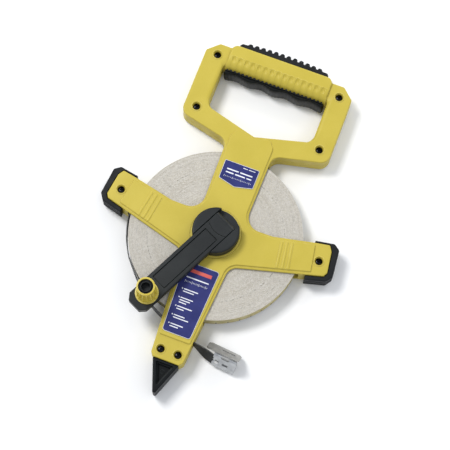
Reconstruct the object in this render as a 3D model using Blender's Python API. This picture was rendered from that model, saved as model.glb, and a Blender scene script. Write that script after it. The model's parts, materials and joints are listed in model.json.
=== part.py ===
"""Surveyor tape reel lying on its back: an open cross frame of two shells, a tape drum on a boss
between them, a folding crank with a spinning knob, and the tape's black leader with its end clip.

The origin is on the reel's axis, at the flat back of the frame. +Z is the reel's axis, towards the
crank, and +Y points along the neck to the handle. Shapes are worked out in millimetres, and mm()
turns them into Blender's metres. A corner of an outline is (x, y, radius).
"""

import math

import bmesh
import bpy
from mathutils import Matrix, Vector
from mathutils.geometry import tessellate_polygon

# Shared by all pieces, millimetres
GAP = 0.3  # clearance between neighbours
OVERLAP = 0.5  # how far joined shapes run into each other
CLEAR = 1.0  # how far a cutter stands out of what it cuts
SLIGHT = 0.05  # keeps the faces of joined shapes out of one plane
ARC_STEP = math.radians(22)

# Frame: a rise is a distance from the plane where the two shells meet
SPLIT_Z = 10.5
PANEL_RISE = 10.5
RIM_RISE = 9.0
CEILING_RISE = 6.6  # the inside of the rim's plate
POCKET_RISE = 7.5  # the wall beside the coil
FRONT_Z = SPLIT_Z + PANEL_RISE
WALL = 2.4
SEAM = 0.15  # half the gap between the shells
RIM_BEVEL = 1.0
PANEL_BEVEL = 1.2
POCKET_R = 77.5  # round space that the coil turns in
HUB_HOLE_R = 14.0

# Coil and drum
TAPE_WIDTH = 13.0
COIL_R = 74.4
DRUM_R = 25.0
DRUM_RIM = 3.0
WEB_HALF = 1.5
COLLAR_R = 12.5
COLLAR_STEP = 0.4  # the collar's end face to the drum's edge
BOSS_R = 7.0
BOSS_TOP_Z = 15.0
BOSS_FOOT_Z = 1.5
BUSH_WALL = 2.0
BUSH_TOP_DROP = 1.5
END_STEP = 0.5  # how far the peg and the bush stay inside the tape's width
BORE_TOP_DROP = 0.9
ANCHOR_PEG_R = 1.5

# Handle bar and its grips
BAR_HALF = 46.6
BAR_TOP_Y = 168.3
BAR_LOW_Y = 144.1
BAR_ROUND_Y = 156.0  # where the bar's face begins to roll over to the fingers
BAR_NOSE = 3.5  # how far the bar reaches past the window's edge
BAR_FRONT_RISE = 11.5
BAR_EDGE = 1.0
BAR_END_BEVEL = 1.5
BAR_END_STEP = 4.6  # how far each end steps in at the bar's top edge
BAR_END_SLOPE = 1.1
BAR_TURNS = 7
GRIP_HALF_WIDTH = 8.0  # the grips' half width along Z
TONGUE_HALF = 36.0
TONGUE_RISE = 2.0
TONGUE_REACH = 3.0
PALM_HALF = 41.0
PALM_BODY = 2.1  # the strip's height at its ends
PALM_ARCH = 2.1
PALM_TEETH = 12
TOOTH_PITCH = 5.88
TOOTH_HALF_FOOT = 2.1
TOOTH_HALF_TOP = 1.35
TOOTH_RISE = 2.5
TOOTH_END_PART = 0.55  # an end tooth's height as a part of TOOTH_RISE
FINGER_HALF = 46.0
FINGER_WAVES = 4
FINGER_STEPS = 48
FINGER_DROP = 3.9
FINGER_WAVE = 1.2
FINGER_END_CALM = 0.4  # how much the waves shrink towards the ends
FINGER_END_RISE = 1.2
FINGER_END_PART = 0.06

# Fasteners
SCREW_PLACES = [(56.5, 153.7), (56.5, 102.0), (89.4, 8.5), (7.6, -108.0)]
SCREW_SHAFT_R = 1.5
SCREW_TIP_R = 0.9
SCREW_TIP_Z = 4.6
SCREW_TIP_H = 1.6
SCREW_HEAD_R = 2.9
SCREW_HEAD_TOP = 17.7
SCREW_HEAD_H = 1.9
SCREW_HEAD_BEVEL = (0.6, 0.5)
SCREW_BORE_R = 3.3
SCREW_DISH_R = 5.0
SCREW_DISH_H = 0.7
CROSS_HALF_LENGTH = 1.7
CROSS_HALF_WIDTH = 0.4
CROSS_DEPTH = 1.1
BOSS_OUTER_R = 4.8
PILOT_R = 1.8
PILOT_RISE = 6.3  # split plane to the end of the back shell's pilot holes

# Leg end and ground spike
TANG_HALF_X = 9.0
TANG_RISE = 3.1
TANG_TOP_Y = -101.5
LEG_END_Y = -116.0
SPIKE_ROOT_Y = LEG_END_Y - GAP
SPIKE_OUTLINE = [(-11.4, SPIKE_ROOT_Y, 0.6), (0.0, -147.0, 1.6), (11.4, SPIKE_ROOT_Y, 0.6)]
SPIKE_RISE = 8.6
SPIKE_BEVEL = 0.8
RECESS_OUTLINE = [(-7.2, -118.7, 0.8), (0.0, -138.0, 1.0), (7.2, -118.7, 0.8)]
RECESS_RISE = 3.0  # split plane to the recess's floor
RECESS_SLOPE = 0.5

# Outlines of the frame's right half, going up from the leg's end
FRAME_RIGHT = [
    (11.4, LEG_END_Y, 0.8),
    (14.2, -112.8, 1.5),
    (21.0, -23.1, 10.0),
    (97.2, -2.4, 1.5),
    (99.3, 1.2, 1.5),
    (96.7, 20.0, 1.5),
    (93.6, 25.0, 1.5),
    (80.0, 22.6, 0.0),
    (46.0, 15.1, 0.0),
    (19.9, 14.6, 13.0),
    (21.2, 81.9, 9.0),
    (67.5, 92.7, 9.0),
    (67.6, 155.0, 2.5),
    (57.7, 164.2, 2.5),
    (46.5, 164.2, 3.0),
    (42.0, BAR_TOP_Y, 2.5),
]
WINDOW_RIGHT = [
    (0.0, 93.1, 2.0),
    (48.3, 106.0, 10.0),
    (48.3, BAR_LOW_Y + BAR_NOSE, 3.5),
]
PANEL_RIGHT = [
    (13.6, -96.6, 1.5),
    (19.0, -21.4, 12.0),
    (86.0, -2.9, 1.0),
    (81.9, 20.6, 1.0),
    (46.0, 13.3, 0.0),
    (18.1, 12.8, 14.8),
    (19.3, 88.0, 6.0),
    (14.5, 94.6, 3.0),
    (0.0, 91.2, 0.0),
]

# Ribs across the arms, each from one point to another
RIB_LINES = [
    ((54.6, 13.6), (57.9, -9.6)),
    ((58.9, 14.6), (62.5, -8.4)),
    ((63.2, 15.5), (67.1, -7.2)),
]
RIB_HALF_FOOT = 1.25
RIB_HALF_TOP = 0.5
RIB_RISE = 0.7

# Bumpers on the arms' ends
BUMPER_OUTER = [
    (80.6, 25.0, 0.5),
    (82.6, -10.6, 0.5),
    (100.8, -5.7, 3.0),
    (104.8, 0.2, 3.0),
    (102.4, 24.0, 3.0),
    (97.0, 27.9, 3.0),
]
BUMPER_RISE = 7.6
BUMPER_BEVEL = 0.9
PEG_X = (94.8, 99.6)
PEG_Y = (5.6, 11.4)
PEG_RISE = 3.0

# Crank. Its arm runs from the hub towards the knob at CRANK_ANGLE, and a reach is a distance from
# the reel's axis along the arm.
CRANK_ANGLE = math.radians(244.4)
KNOB_REACH = 78.6
HINGE_REACH = -9.2
TIP_REACH = 93.5
ARM_HALF = 10.2
ARM_LOW_Z = 24.4
ARM_TOP_Z = 32.0
ARM_RISE = (ARM_TOP_Z - ARM_LOW_Z) / 2
HINGE_Z = (ARM_LOW_Z + ARM_TOP_Z) / 2
ARM_LOW_BEVEL = 0.4
ARM_TOP_BEVEL = 0.8
TIP_CUT = (5.0, 4.2)  # how much is cut off the tip's corners, along the arm and across it
TIP_ROUND = 1.0
ARM_PANEL_REACH = (5.0, 66.0)
ARM_PANEL_HALF = 7.3
ARM_PANEL_ROUND = 0.8
ARM_PANEL_DEPTH = 1.0
ARM_PANEL_SLOPE = 0.4
PAD_END_REACH = -1.7
PAD_SAG = 3.5
PAD_STEPS = 12
GROOVE_HALF = 0.4
GROOVE_DEPTH = 0.7

# Hub cap that the crank folds in
HUB_R = 20.0
HUB_LOW_Z = 21.6
HUB_FLOOR_Z = 24.1
HUB_TOP_Z = 32.2
HUB_LOW_BEVEL = 0.8
HUB_TOP_BEVEL = 1.6
CHANNEL_HALF = 10.6
PIN_R = 1.5
PIN_HALF = 16.4
HUB_SCREW_R = 1.5
HUB_SCREW_TIP_R = 1.2
HUB_SCREW_TIP_Z = 17.2
HUB_SCREW_TIP_H = 1.0
HUB_SCREW_BORE_R = 1.9
HUB_SCREW_HEAD_R = 3.2
HUB_SCREW_HEAD_BEVEL = (0.4, 0.3)
HUB_SCREW_SINK = 0.1  # the head's top below the channel's floor
HUB_SEAT_R = 3.6
HUB_SEAT_DEPTH = 1.3

# Knob and its post
KNOB_LOW_Z = 32.4
KNOB_TOP_Z = 55.0
KNOB_FLANGE_R = 9.5
KNOB_FLANGE_H = 1.4
KNOB_FOOT_R = 8.75
KNOB_NECK_R = 7.4
KNOB_RIM_R = 7.75
KNOB_RIM_TOP_R = 7.3
KNOB_RIM_H = 1.4
KNOB_BEVEL_H = 0.8
KNOB_LIP_H = 0.5
COUNTERBORE_R = 6.2
COUNTERBORE_Z = 50.0
POST_R = 4.6
POST_TOP_Z = 53.7
POST_BEVEL = 0.5
POST_SHANK_R = 3.6
POST_HOLLOW_R = 3.8
POST_HOLLOW_Z = 47.0
RETAINER_R = 5.9
RETAINER_TOP_Z = 53.4

# Leader: a black strip on edge, round the coil and out through the leg
LEADER_T = 0.8
LEADER_ARC = (172, 216, 4)  # degrees round the coil: start, end, step
LEADER_OUT = [
    (-44.5, -62.8),
    (-28.6, -75.3),
    (-10.0, -84.0),
    (8.0, -90.5),
    (20.0, -94.4),
    (28.0, -97.0),
    (34.7, -98.9),
    (42.0, -99.5),
]
LEADER_STEPS = 4
SHORT_STRETCH = 6.0  # a stretch under this length is one step
TWIST_X = (12.0, 30.0)  # where the leader leans over from upright
LEG_SLIT_X = 24.0
LEG_SLIT_Y = -70.0
LEG_SLIT_T = 3.0
LEG_SLIT_ROOM = 1.2

# End clip. Its hinge line is the clip's top edge, +X along the line and -Z down its plates.
CLIP_START = Vector((35.0, -95.6, 17.0))
CLIP_YAW = math.radians(-5)
CLIP_LEAN = math.radians(-24)
CLIP_LENGTH = 20.5
CLIP_DIP = 0.9  # how far the leader sinks on its way to the clip
CLIP_DEPTH = 14.9  # hinge line to the clip's lower edge
BACK_TOP = 1.9  # hinge line to the back plate's upper edge
SHEET = 0.6
SHEET_GAP = 0.75  # leader's middle to the clip's plates
CLIP_OUTER = SHEET_GAP + SHEET
KNUCKLE_R = 1.3
NOTCH_ROOM = 0.5
CLAW_PIN_R = 0.6
CLAW_PIN_SHORT = 0.2
CLIP_SLOT = ((9.0, -9.6), (14.0, -7.2))
RIVET_PLACE = (4.0, -8.1)
RIVET_R = 1.0
RIVET_HEAD_R = 1.7
RIVET_HEAD_H = 0.5
RIVET_SINK = 0.1

# Claw: a plate on the clip's pin
CLAW_HANG = math.radians(31)  # its slope from straight down
CLAW_REACH = 15.6
CLAW_KNUCKLE = (7.1, 13.4)
CLAW_OFFSET = 1.65
CLAW_ENDS = (-8.3, 21.2)
CLAW_CORNER = 2.4
CLAW_TOP = 0.6
CLAW_SHOULDER = 1.5  # how far the upper corners are cut back
CLAW_SHOULDER_LOW = (-2.0, -1.5)
CLAW_NECK = ((0.3, -0.9), (1.95, 0.5))
CLAW_SLOT = ((4.1, -10.3), (16.4, -8.3))

# Labels on the raised panels
NECK_LABEL = [(0.0, 43.8, 1.0), (15.4, 47.6, 1.0), (15.6, 64.8, 1.0)]
LEG_LABEL = [(12.3, -93.0, 2.5), (15.4, -31.0, 2.5)]
LABEL_T = 0.25

YELLOW = (0.76, 0.60, 0.11)
BLACK = (0.025, 0.026, 0.027)
GRAPHITE = (0.045, 0.050, 0.052)
STEEL = (0.62, 0.62, 0.60)
TAPE = (0.62, 0.58, 0.50)
BLUE = (0.035, 0.042, 0.17)
BRASS = (0.60, 0.45, 0.18)


def mm(value):
    return value / 1000


def clear_scene():
    for obj in list(bpy.data.objects):
        bpy.data.objects.remove(obj)


# Materials


def material(name, color, roughness, metallic=0.0):
    found = bpy.data.materials.get(name)
    if found:
        return found
    made = bpy.data.materials.new(name)
    made.use_nodes = True
    shader = made.node_tree.nodes["Principled BSDF"]
    shader.inputs["Base Color"].default_value = (*color, 1)
    shader.inputs["Roughness"].default_value = roughness
    shader.inputs["Metallic"].default_value = metallic
    return made


def yellow_plastic():
    return material("yellow_plastic", YELLOW, 0.45)


def black_rubber():
    return material("black_rubber", BLACK, 0.7)


def black_plastic():
    return material("black_plastic", GRAPHITE, 0.4)


def plated_steel():
    return material("plated_steel", STEEL, 0.25, 1.0)


def black_steel():
    return material("black_steel", BLACK, 0.35, 1.0)


# Outlines


def moved_in(corners, inset):
    """The outline moved into its material, which is on its left."""
    least_radius = 0.15
    moved = []
    for i, (x, y, radius) in enumerate(corners):
        here = Vector((x, y))
        ahead = (Vector(corners[(i + 1) % len(corners)][:2]) - here).normalized()
        behind = (here - Vector(corners[i - 1][:2])).normalized()
        left_behind = Vector((-behind.y, behind.x))
        left_ahead = Vector((-ahead.y, ahead.x))
        shift = (left_behind + left_ahead) / (1 + left_behind.dot(left_ahead)) * inset
        turns_left = behind.cross(ahead) > 0
        new_radius = max(radius + (-inset if turns_left else inset), least_radius)
        moved.append((*(here + shift), new_radius if radius else 0))
    return moved


def rounded(corners):
    """The outline's points, with each corner of a radius turned into an arc."""
    least_turn = math.radians(2)
    points = []
    for i, (x, y, radius) in enumerate(corners):
        here = Vector((x, y))
        ahead = (Vector(corners[(i + 1) % len(corners)][:2]) - here).normalized()
        behind = (here - Vector(corners[i - 1][:2])).normalized()
        turn = -behind.angle_signed(ahead)
        if not radius or abs(turn) < least_turn:
            points.append(here)
            continue
        tangent = radius * math.tan(abs(turn) / 2)
        start = here - behind * tangent
        centre = start + Vector((-behind.y, behind.x)) * math.copysign(radius, turn)
        count = max(1, math.ceil(abs(turn) / ARC_STEP))
        for k in range(count + 1):
            spin = Matrix.Rotation(turn * k / count, 2)
            points.append(centre + spin @ (start - centre))
    return points


def both_sides(right):
    """Corners going up the right side, followed by the same corners mirrored down the left side."""
    left = [(-x, y, radius) for x, y, radius in reversed(right) if x]
    return right + left


def reversed_loop(corners):
    return list(reversed(corners))


# Solids


def new_object(name, mesh_builder, made_of=None):
    """An object from a bmesh in millimetres, with its faces pointing out."""
    bmesh.ops.recalc_face_normals(mesh_builder, faces=mesh_builder.faces)
    bmesh.ops.scale(mesh_builder, vec=(mm(1), mm(1), mm(1)), verts=mesh_builder.verts)
    mesh = bpy.data.meshes.new(name)
    mesh_builder.to_mesh(mesh)
    mesh_builder.free()
    mesh.shade_smooth()
    mesh.set_sharp_from_angle(angle=math.radians(30))
    obj = bpy.data.objects.new(name, mesh)
    bpy.context.scene.collection.objects.link(obj)
    if made_of:
        mesh.materials.append(made_of)
    return obj


def add_slab(bm, loops, levels):
    """Adds a prism: levels are (inset, z) pairs, and loops the outer outline and then the holes."""
    rings = []
    for inset, z in levels:
        ring = []
        for corners in loops:
            points = rounded(moved_in(corners, inset))
            ring.append([bm.verts.new((p.x, p.y, z)) for p in points])
        rings.append(ring)
    for low, high in zip(rings, rings[1:]):
        for low_loop, high_loop in zip(low, high):
            count = len(low_loop)
            for i in range(count):
                j = (i + 1) % count
                bm.faces.new((low_loop[i], low_loop[j], high_loop[j], high_loop[i]))
    for ring in (rings[0], rings[-1]):
        if len(ring) == 1:
            bm.faces.new(ring[0])
            continue
        corners = [vert for loop in ring for vert in loop]
        flat = [[vert.co for vert in loop] for loop in ring]
        for triangle in tessellate_polygon(flat):
            bm.faces.new([corners[i] for i in triangle])


def add_turned(bm, profile, centre=(0, 0), segments=32):
    """Adds a turned solid: the profile is a closed list of (radius, z) that may reach the axis."""
    rings = []
    for radius, z in profile:
        if radius == 0:
            rings.append(None)
            continue
        ring = []
        for k in range(segments):
            angle = math.tau * k / segments
            x = centre[0] + radius * math.cos(angle)
            y = centre[1] + radius * math.sin(angle)
            ring.append(bm.verts.new((x, y, z)))
        rings.append(ring)
    for one, two in zip(rings, rings[1:] + rings[:1]):
        if one and two:
            for k in range(segments):
                n = (k + 1) % segments
                bm.faces.new((one[k], one[n], two[n], two[k]))
        elif one or two:
            bm.faces.new(one or two)


def add_box(bm, low, high):
    size = Vector(high) - Vector(low)
    middle = (Vector(high) + Vector(low)) / 2
    place = Matrix.Translation(middle) @ Matrix.Diagonal((*size, 1))
    bmesh.ops.create_cube(bm, size=1, matrix=place)


def add_rod(bm, radius, start, end, segments=20):
    """Adds a round rod between two points."""
    start, end = Vector(start), Vector(end)
    turn = (end - start).to_track_quat("Z", "Y").to_matrix().to_4x4()
    bmesh.ops.create_cone(
        bm,
        cap_ends=True,
        segments=segments,
        radius1=radius,
        radius2=radius,
        depth=(end - start).length,
        matrix=Matrix.Translation((start + end) / 2) @ turn,
    )


def add_ribbon(bm, stations):
    """Adds a bar that joins cross-sections, each a list of as many corners."""
    rings = [[bm.verts.new(corner) for corner in station] for station in stations]
    for one, two in zip(rings, rings[1:]):
        for k in range(len(one)):
            n = (k + 1) % len(one)
            bm.faces.new((one[k], one[n], two[n], two[k]))
    bm.faces.new(rings[0])
    bm.faces.new(rings[-1])


def turned(name, profile, made_of, centre=(0, 0), segments=32):
    bm = bmesh.new()
    add_turned(bm, profile, centre, segments)
    return new_object(name, bm, made_of)


def rod_profile(radius, low, high):
    return [(0, low), (radius, low), (radius, high), (0, high)]


def tube_profile(inner, outer, low, high):
    return [(inner, low), (outer, low), (outer, high), (inner, high)]


def combine(obj, bm, operation, parent=None):
    """Cuts the bmesh's shapes from the object, or joins them to it, in the parent's frame."""
    helper = new_object(f"{obj.name}_{operation.lower()}", bm)
    helper.hide_render = True
    helper.display_type = "WIRE"
    helper.parent = parent or obj.parent
    modifier = obj.modifiers.new(operation.title(), "BOOLEAN")
    modifier.operation = operation
    modifier.object = helper
    modifier.solver = "EXACT"


def cut(obj, bm):
    combine(obj, bm, "DIFFERENCE")


def join(obj, bm):
    combine(obj, bm, "UNION")


def at_rise(side, rise):
    """Height of a point this far from the split plane: side is 1 in front and -1 behind."""
    return SPLIT_Z + side * rise


def at_rises(side, levels):
    return [(inset, at_rise(side, rise)) for inset, rise in levels]


# Frame


def mirrored_places():
    return [(sign * x, y) for x, y in SCREW_PLACES for sign in (-1, 1)]


def frame_loops():
    return [both_sides(FRAME_RIGHT), reversed_loop(both_sides(WINDOW_RIGHT))]


def frame_shell(name, side):
    bm = bmesh.new()
    levels = [(0, SEAM), (0, RIM_RISE - RIM_BEVEL), (RIM_BEVEL, RIM_RISE)]
    add_slab(bm, frame_loops(), at_rises(side, levels))
    return new_object(name, bm, yellow_plastic())


def hollow_out(shell, side):
    inside = bmesh.new()
    add_slab(inside, frame_loops(), at_rises(side, [(WALL, -CLEAR), (WALL, CEILING_RISE)]))
    cut(shell, inside)
    pocket = bmesh.new()
    outside = at_rise(side, -2 * CLEAR)
    add_turned(pocket, rod_profile(POCKET_R, outside, at_rise(side, POCKET_RISE)), segments=72)
    cut(shell, pocket)


def add_panel(shell, side):
    bm = bmesh.new()
    levels = [(0, POCKET_RISE + OVERLAP), (0, PANEL_RISE - PANEL_BEVEL), (PANEL_BEVEL, PANEL_RISE)]
    add_slab(bm, [both_sides(PANEL_RIGHT)], at_rises(side, levels))
    join(shell, bm)


def bar_outline(front_rise):
    """The bar's section as (y, rise): from its top edge over its face, and round to the fingers."""
    under = CEILING_RISE + OVERLAP
    outline = [
        (BAR_TOP_Y, under),
        (BAR_TOP_Y, front_rise - BAR_EDGE),
        (BAR_TOP_Y - BAR_EDGE, front_rise),
    ]
    for k in range(BAR_TURNS + 1):
        angle = math.pi / 2 * k / BAR_TURNS
        y = BAR_ROUND_Y - (BAR_ROUND_Y - BAR_LOW_Y) * math.sin(angle)
        outline.append((y, SEAM + (front_rise - SEAM) * math.cos(angle)))
    outline += [(BAR_LOW_Y + WALL, SEAM), (BAR_ROUND_Y - CLEAR, under)]
    return outline


def add_bar(shell, side, front_rise):
    """The handle bar's front over the shell's straight top wall, with bevelled ends."""
    inner = BAR_HALF - BAR_END_BEVEL
    ends = [(-BAR_HALF, BAR_END_BEVEL), (-inner, 0), (inner, 0), (BAR_HALF, BAR_END_BEVEL)]
    rings = []
    for end, drop in ends:
        ring = []
        for y, rise in bar_outline(front_rise):
            stepped = abs(end) - BAR_END_STEP + (BAR_TOP_Y - y) * BAR_END_SLOPE
            low = rise - drop if rise > RIM_RISE else rise
            ring.append((math.copysign(min(abs(end), stepped), end), y, at_rise(side, low)))
        rings.append(ring)
    bm = bmesh.new()
    add_ribbon(bm, rings)
    join(shell, bm)


def rib_section(point, across):
    """A rib's section at this point: wide at its foot and narrow at its top."""
    foot = point + Vector((0, 0, FRONT_Z - OVERLAP))
    top = point + Vector((0, 0, FRONT_Z + RIB_RISE))
    wide, narrow = across * RIB_HALF_FOOT, across * RIB_HALF_TOP
    return [foot + wide, foot - wide, top - narrow, top + narrow]


def add_ribs(shell):
    """Three low ribs across each arm."""
    bm = bmesh.new()
    for sign in (-1, 1):
        for (x1, y1), (x2, y2) in RIB_LINES:
            start = Vector((sign * x1, y1, 0))
            end = Vector((sign * x2, y2, 0))
            across = (end - start).normalized().cross(Vector((0, 0, 1)))
            add_ribbon(bm, [rib_section(point, across) for point in (start, end)])
    join(shell, bm)


def boss_foot(y):
    """Rise where a screw boss starts: the spike's tang lies between the two at the leg's end."""
    return TANG_RISE + 2 * GAP if y < TANG_TOP_Y else SEAM


def add_bosses(shell, side, pilot_rise=None):
    """A boss for each screw, with a blind pilot hole where pilot_rise says how deep."""
    bm = bmesh.new()
    for x, y in mirrored_places():
        low = at_rise(side, boss_foot(y))
        high = at_rise(side, CEILING_RISE + CLEAR)
        profile = rod_profile(BOSS_OUTER_R, low, high)
        if pilot_rise:
            end = at_rise(side, pilot_rise)
            profile = [(PILOT_R, low), *profile[1:], (0, end), (PILOT_R, end)]
        add_turned(bm, profile, (x, y), 16)
    join(shell, bm)


def bore_screw_heads(shell):
    """Stepped bores in the front shell, each with a chamfered mouth."""
    low = SPLIT_Z - CLEAR
    rim = SPLIT_Z + RIM_RISE
    seat = SCREW_HEAD_TOP - SCREW_HEAD_H - GAP
    profile = [
        (0, low),
        (PILOT_R, low),
        (PILOT_R, seat),
        (SCREW_BORE_R, seat),
        (SCREW_BORE_R, rim - SCREW_DISH_H),
        (SCREW_DISH_R, rim + SLIGHT),
        (SCREW_DISH_R, rim + 2 * CLEAR),
        (0, rim + 2 * CLEAR),
    ]
    bm = bmesh.new()
    for place in mirrored_places():
        add_turned(bm, profile, place, 20)
    cut(shell, bm)


def add_centred_box(bm, x_ends, y_ends, half):
    """Adds a box that reaches this far to each side of the split plane."""
    near, far = sorted(x_ends)
    low, high = sorted(y_ends)
    add_box(bm, (near, low, SPLIT_Z - half), (far, high, SPLIT_Z + half))


def cut_slots(shell):
    """Room for the grips' tongues, the bumpers' pegs, the spike's tang and the leader."""
    bm = bmesh.new()
    reach = TONGUE_HALF + GAP
    tongue = TONGUE_RISE + GAP
    past = 3 * CLEAR
    add_centred_box(bm, (-reach, reach), (BAR_TOP_Y - WALL - CLEAR, BAR_TOP_Y + past), tongue)
    add_centred_box(bm, (-reach, reach), (BAR_LOW_Y - past, BAR_LOW_Y + BAR_NOSE + WALL + CLEAR), tongue)
    for sign in (-1, 1):
        sides = (sign * (PEG_X[0] - GAP), sign * (PEG_X[1] + past))
        add_centred_box(bm, sides, (PEG_Y[0] - GAP, PEG_Y[1] + GAP), PEG_RISE + GAP)
    half = TANG_HALF_X + GAP
    add_centred_box(bm, (-half, half), (LEG_END_Y - past, LEG_END_Y + WALL + CLEAR), TANG_RISE + GAP)
    cut(shell, bm)
    slit = bmesh.new()
    route = [p for p in leader_route() if abs(p.x) < LEG_SLIT_X and p.y < LEG_SLIT_Y]
    upright = [0] * len(route)
    add_ribbon(slit, strip_sections(route, LEG_SLIT_T, TAPE_WIDTH + LEG_SLIT_ROOM, upright))
    cut(shell, slit)


def make_front_frame():
    shell = frame_shell("front_frame", 1)
    hollow_out(shell, 1)
    add_panel(shell, 1)
    add_bar(shell, 1, BAR_FRONT_RISE)
    cut_slots(shell)
    hole = bmesh.new()
    ceiling = at_rise(1, POCKET_RISE)
    add_turned(hole, rod_profile(HUB_HOLE_R, ceiling - CLEAR, FRONT_Z + CLEAR), segments=48)
    cut(shell, hole)
    add_ribs(shell)
    add_bosses(shell, 1)
    bore_screw_heads(shell)


def make_back_frame():
    shell = frame_shell("back_frame", -1)
    hollow_out(shell, -1)
    add_panel(shell, -1)
    add_bar(shell, -1, PANEL_RISE)
    cut_slots(shell)
    boss = bmesh.new()
    add_turned(boss, rod_profile(BOSS_R, BOSS_FOOT_Z, BOSS_TOP_Z), segments=40)
    join(shell, boss)
    add_bosses(shell, -1, PILOT_RISE)


# Grips, bumpers, spike and screws


def extruded_strip(name, points, made_of, half_width):
    bm = bmesh.new()
    corners = [(x, y, 0) for x, y in points]
    add_slab(bm, [corners], [(0, SPLIT_Z - half_width), (0, SPLIT_Z + half_width)])
    return new_object(name, bm, made_of)


def add_tongue(strip, root_y, tip_y):
    bm = bmesh.new()
    add_centred_box(bm, (-TONGUE_HALF, TONGUE_HALF), (root_y, tip_y), TONGUE_RISE)
    join(strip, bm)


def palm_height(x):
    """Height of the palm strip's body, and of a tooth on it, this far from its middle."""
    arch = 1 - (x / PALM_HALF) ** 2
    body = PALM_BODY + PALM_ARCH * arch
    tooth = TOOTH_RISE * (TOOTH_END_PART + (1 - TOOTH_END_PART) * arch)
    return body, tooth


def make_palm_strip():
    """An arched strip with a row of teeth, lower towards its ends."""
    base = BAR_TOP_Y + GAP
    points = [(PALM_HALF, base), (PALM_HALF, base + PALM_BODY)]
    for k in range(PALM_TEETH):
        middle = TOOTH_PITCH * ((PALM_TEETH - 1) / 2 - k)
        shape = [(TOOTH_HALF_FOOT, 0), (TOOTH_HALF_TOP, 1), (-TOOTH_HALF_TOP, 1), (-TOOTH_HALF_FOOT, 0)]
        for away, raised in shape:
            body, tooth = palm_height(middle + away)
            points.append((middle + away, base + body + raised * tooth))
    points += [(-PALM_HALF, base + PALM_BODY), (-PALM_HALF, base)]
    strip = extruded_strip("palm_strip", points, black_rubber(), GRIP_HALF_WIDTH)
    add_tongue(strip, base + OVERLAP, base - TONGUE_REACH)


def finger_drop(x):
    """The finger grip's depth this far from its middle: waves that calm down to rounded ends."""
    wave = math.cos(math.tau * FINGER_WAVES * (x + FINGER_HALF) / (2 * FINGER_HALF))
    end = abs(x) / FINGER_HALF
    past = max(0, end - 1 + FINGER_END_PART) / FINGER_END_PART
    return FINGER_DROP + FINGER_WAVE * wave * (1 - FINGER_END_CALM * end) - FINGER_END_RISE * past


def make_finger_grip():
    """A strip with a shallow hollow for each finger."""
    top = BAR_LOW_Y - GAP
    points = [(FINGER_HALF, top), (-FINGER_HALF, top)]
    for k in range(FINGER_STEPS + 1):
        x = -FINGER_HALF + 2 * FINGER_HALF * k / FINGER_STEPS
        points.append((x, top - finger_drop(x)))
    strip = extruded_strip("finger_grip", points, black_rubber(), GRIP_HALF_WIDTH)
    add_tongue(strip, top - OVERLAP, top + TONGUE_REACH)


def make_bumper(name, sign):
    """A cap round the arm's end, with a peg in the slot of the end wall."""
    outer = [(sign * x, y, radius) for x, y, radius in BUMPER_OUTER]
    if sign < 0:
        outer = reversed_loop(outer)
    low, high = SPLIT_Z - BUMPER_RISE, SPLIT_Z + BUMPER_RISE
    levels = [(BUMPER_BEVEL, low), (0, low + BUMPER_BEVEL), (0, high - BUMPER_BEVEL), (BUMPER_BEVEL, high)]
    bm = bmesh.new()
    add_slab(bm, [outer], levels)
    bumper = new_object(name, bm, black_rubber())
    room = bmesh.new()
    add_slab(room, [both_sides(FRAME_RIGHT)], [(-GAP, low - CLEAR), (-GAP, high + CLEAR)])
    cut(bumper, room)
    peg = bmesh.new()
    add_centred_box(peg, (sign * PEG_X[0], sign * (PEG_X[1] + 2 * CLEAR)), PEG_Y, PEG_RISE)
    join(bumper, peg)


def make_ground_spike():
    """A triangular spike, recessed on both faces, with a tang that the leg's screws pass through."""
    low, high = SPLIT_Z - SPIKE_RISE, SPLIT_Z + SPIKE_RISE
    levels = [(SPIKE_BEVEL, low), (0, low + SPIKE_BEVEL), (0, high - SPIKE_BEVEL), (SPIKE_BEVEL, high)]
    bm = bmesh.new()
    add_slab(bm, [SPIKE_OUTLINE], levels)
    spike = new_object("ground_spike", bm, black_plastic())
    tang = bmesh.new()
    add_centred_box(tang, (-TANG_HALF_X, TANG_HALF_X), (SPIKE_ROOT_Y - CLEAR, TANG_TOP_Y), TANG_RISE)
    join(spike, tang)
    recess = bmesh.new()
    depths = [(RECESS_SLOPE, RECESS_RISE), (0, SPIKE_RISE + CLEAR)]
    for side in (1, -1):
        add_slab(recess, [RECESS_OUTLINE], at_rises(side, depths))
    reach = TANG_RISE + CLEAR
    for x, y in mirrored_places():
        if y < TANG_TOP_Y:
            add_turned(recess, rod_profile(PILOT_R, SPLIT_Z - reach, SPLIT_Z + reach), (x, y), 16)
    cut(spike, recess)


def cross_outline(long, short):
    """The twelve corners of a plus sign, anticlockwise."""
    arm = [(long, -short), (long, short), (short, short)]
    points = []
    for _ in range(4):
        points += arm
        arm = [(-y, x) for x, y in arm]
    return points


def make_frame_screws():
    """Cross-head screws, sunk below the front shell's rim."""
    top = SCREW_HEAD_TOP
    seat = top - SCREW_HEAD_H
    side, down = SCREW_HEAD_BEVEL
    profile = [
        (0, SCREW_TIP_Z),
        (SCREW_TIP_R, SCREW_TIP_Z),
        (SCREW_SHAFT_R, SCREW_TIP_Z + SCREW_TIP_H),
        (SCREW_SHAFT_R, seat),
        (SCREW_HEAD_R, seat),
        (SCREW_HEAD_R, top - down),
        (SCREW_HEAD_R - side, top),
        (0, top),
    ]
    for number, (x, y) in enumerate(mirrored_places(), 1):
        screw = turned(f"frame_screw_{number}", profile, black_steel(), (x, y), 14)
        cross = bmesh.new()
        corners = cross_outline(CROSS_HALF_LENGTH, CROSS_HALF_WIDTH)
        outline = [(x + dx, y + dy, 0) for dx, dy in corners]
        add_slab(cross, [outline], [(0, top - CROSS_DEPTH), (0, top + CLEAR)])
        cut(screw, cross)


# Reel


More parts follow.
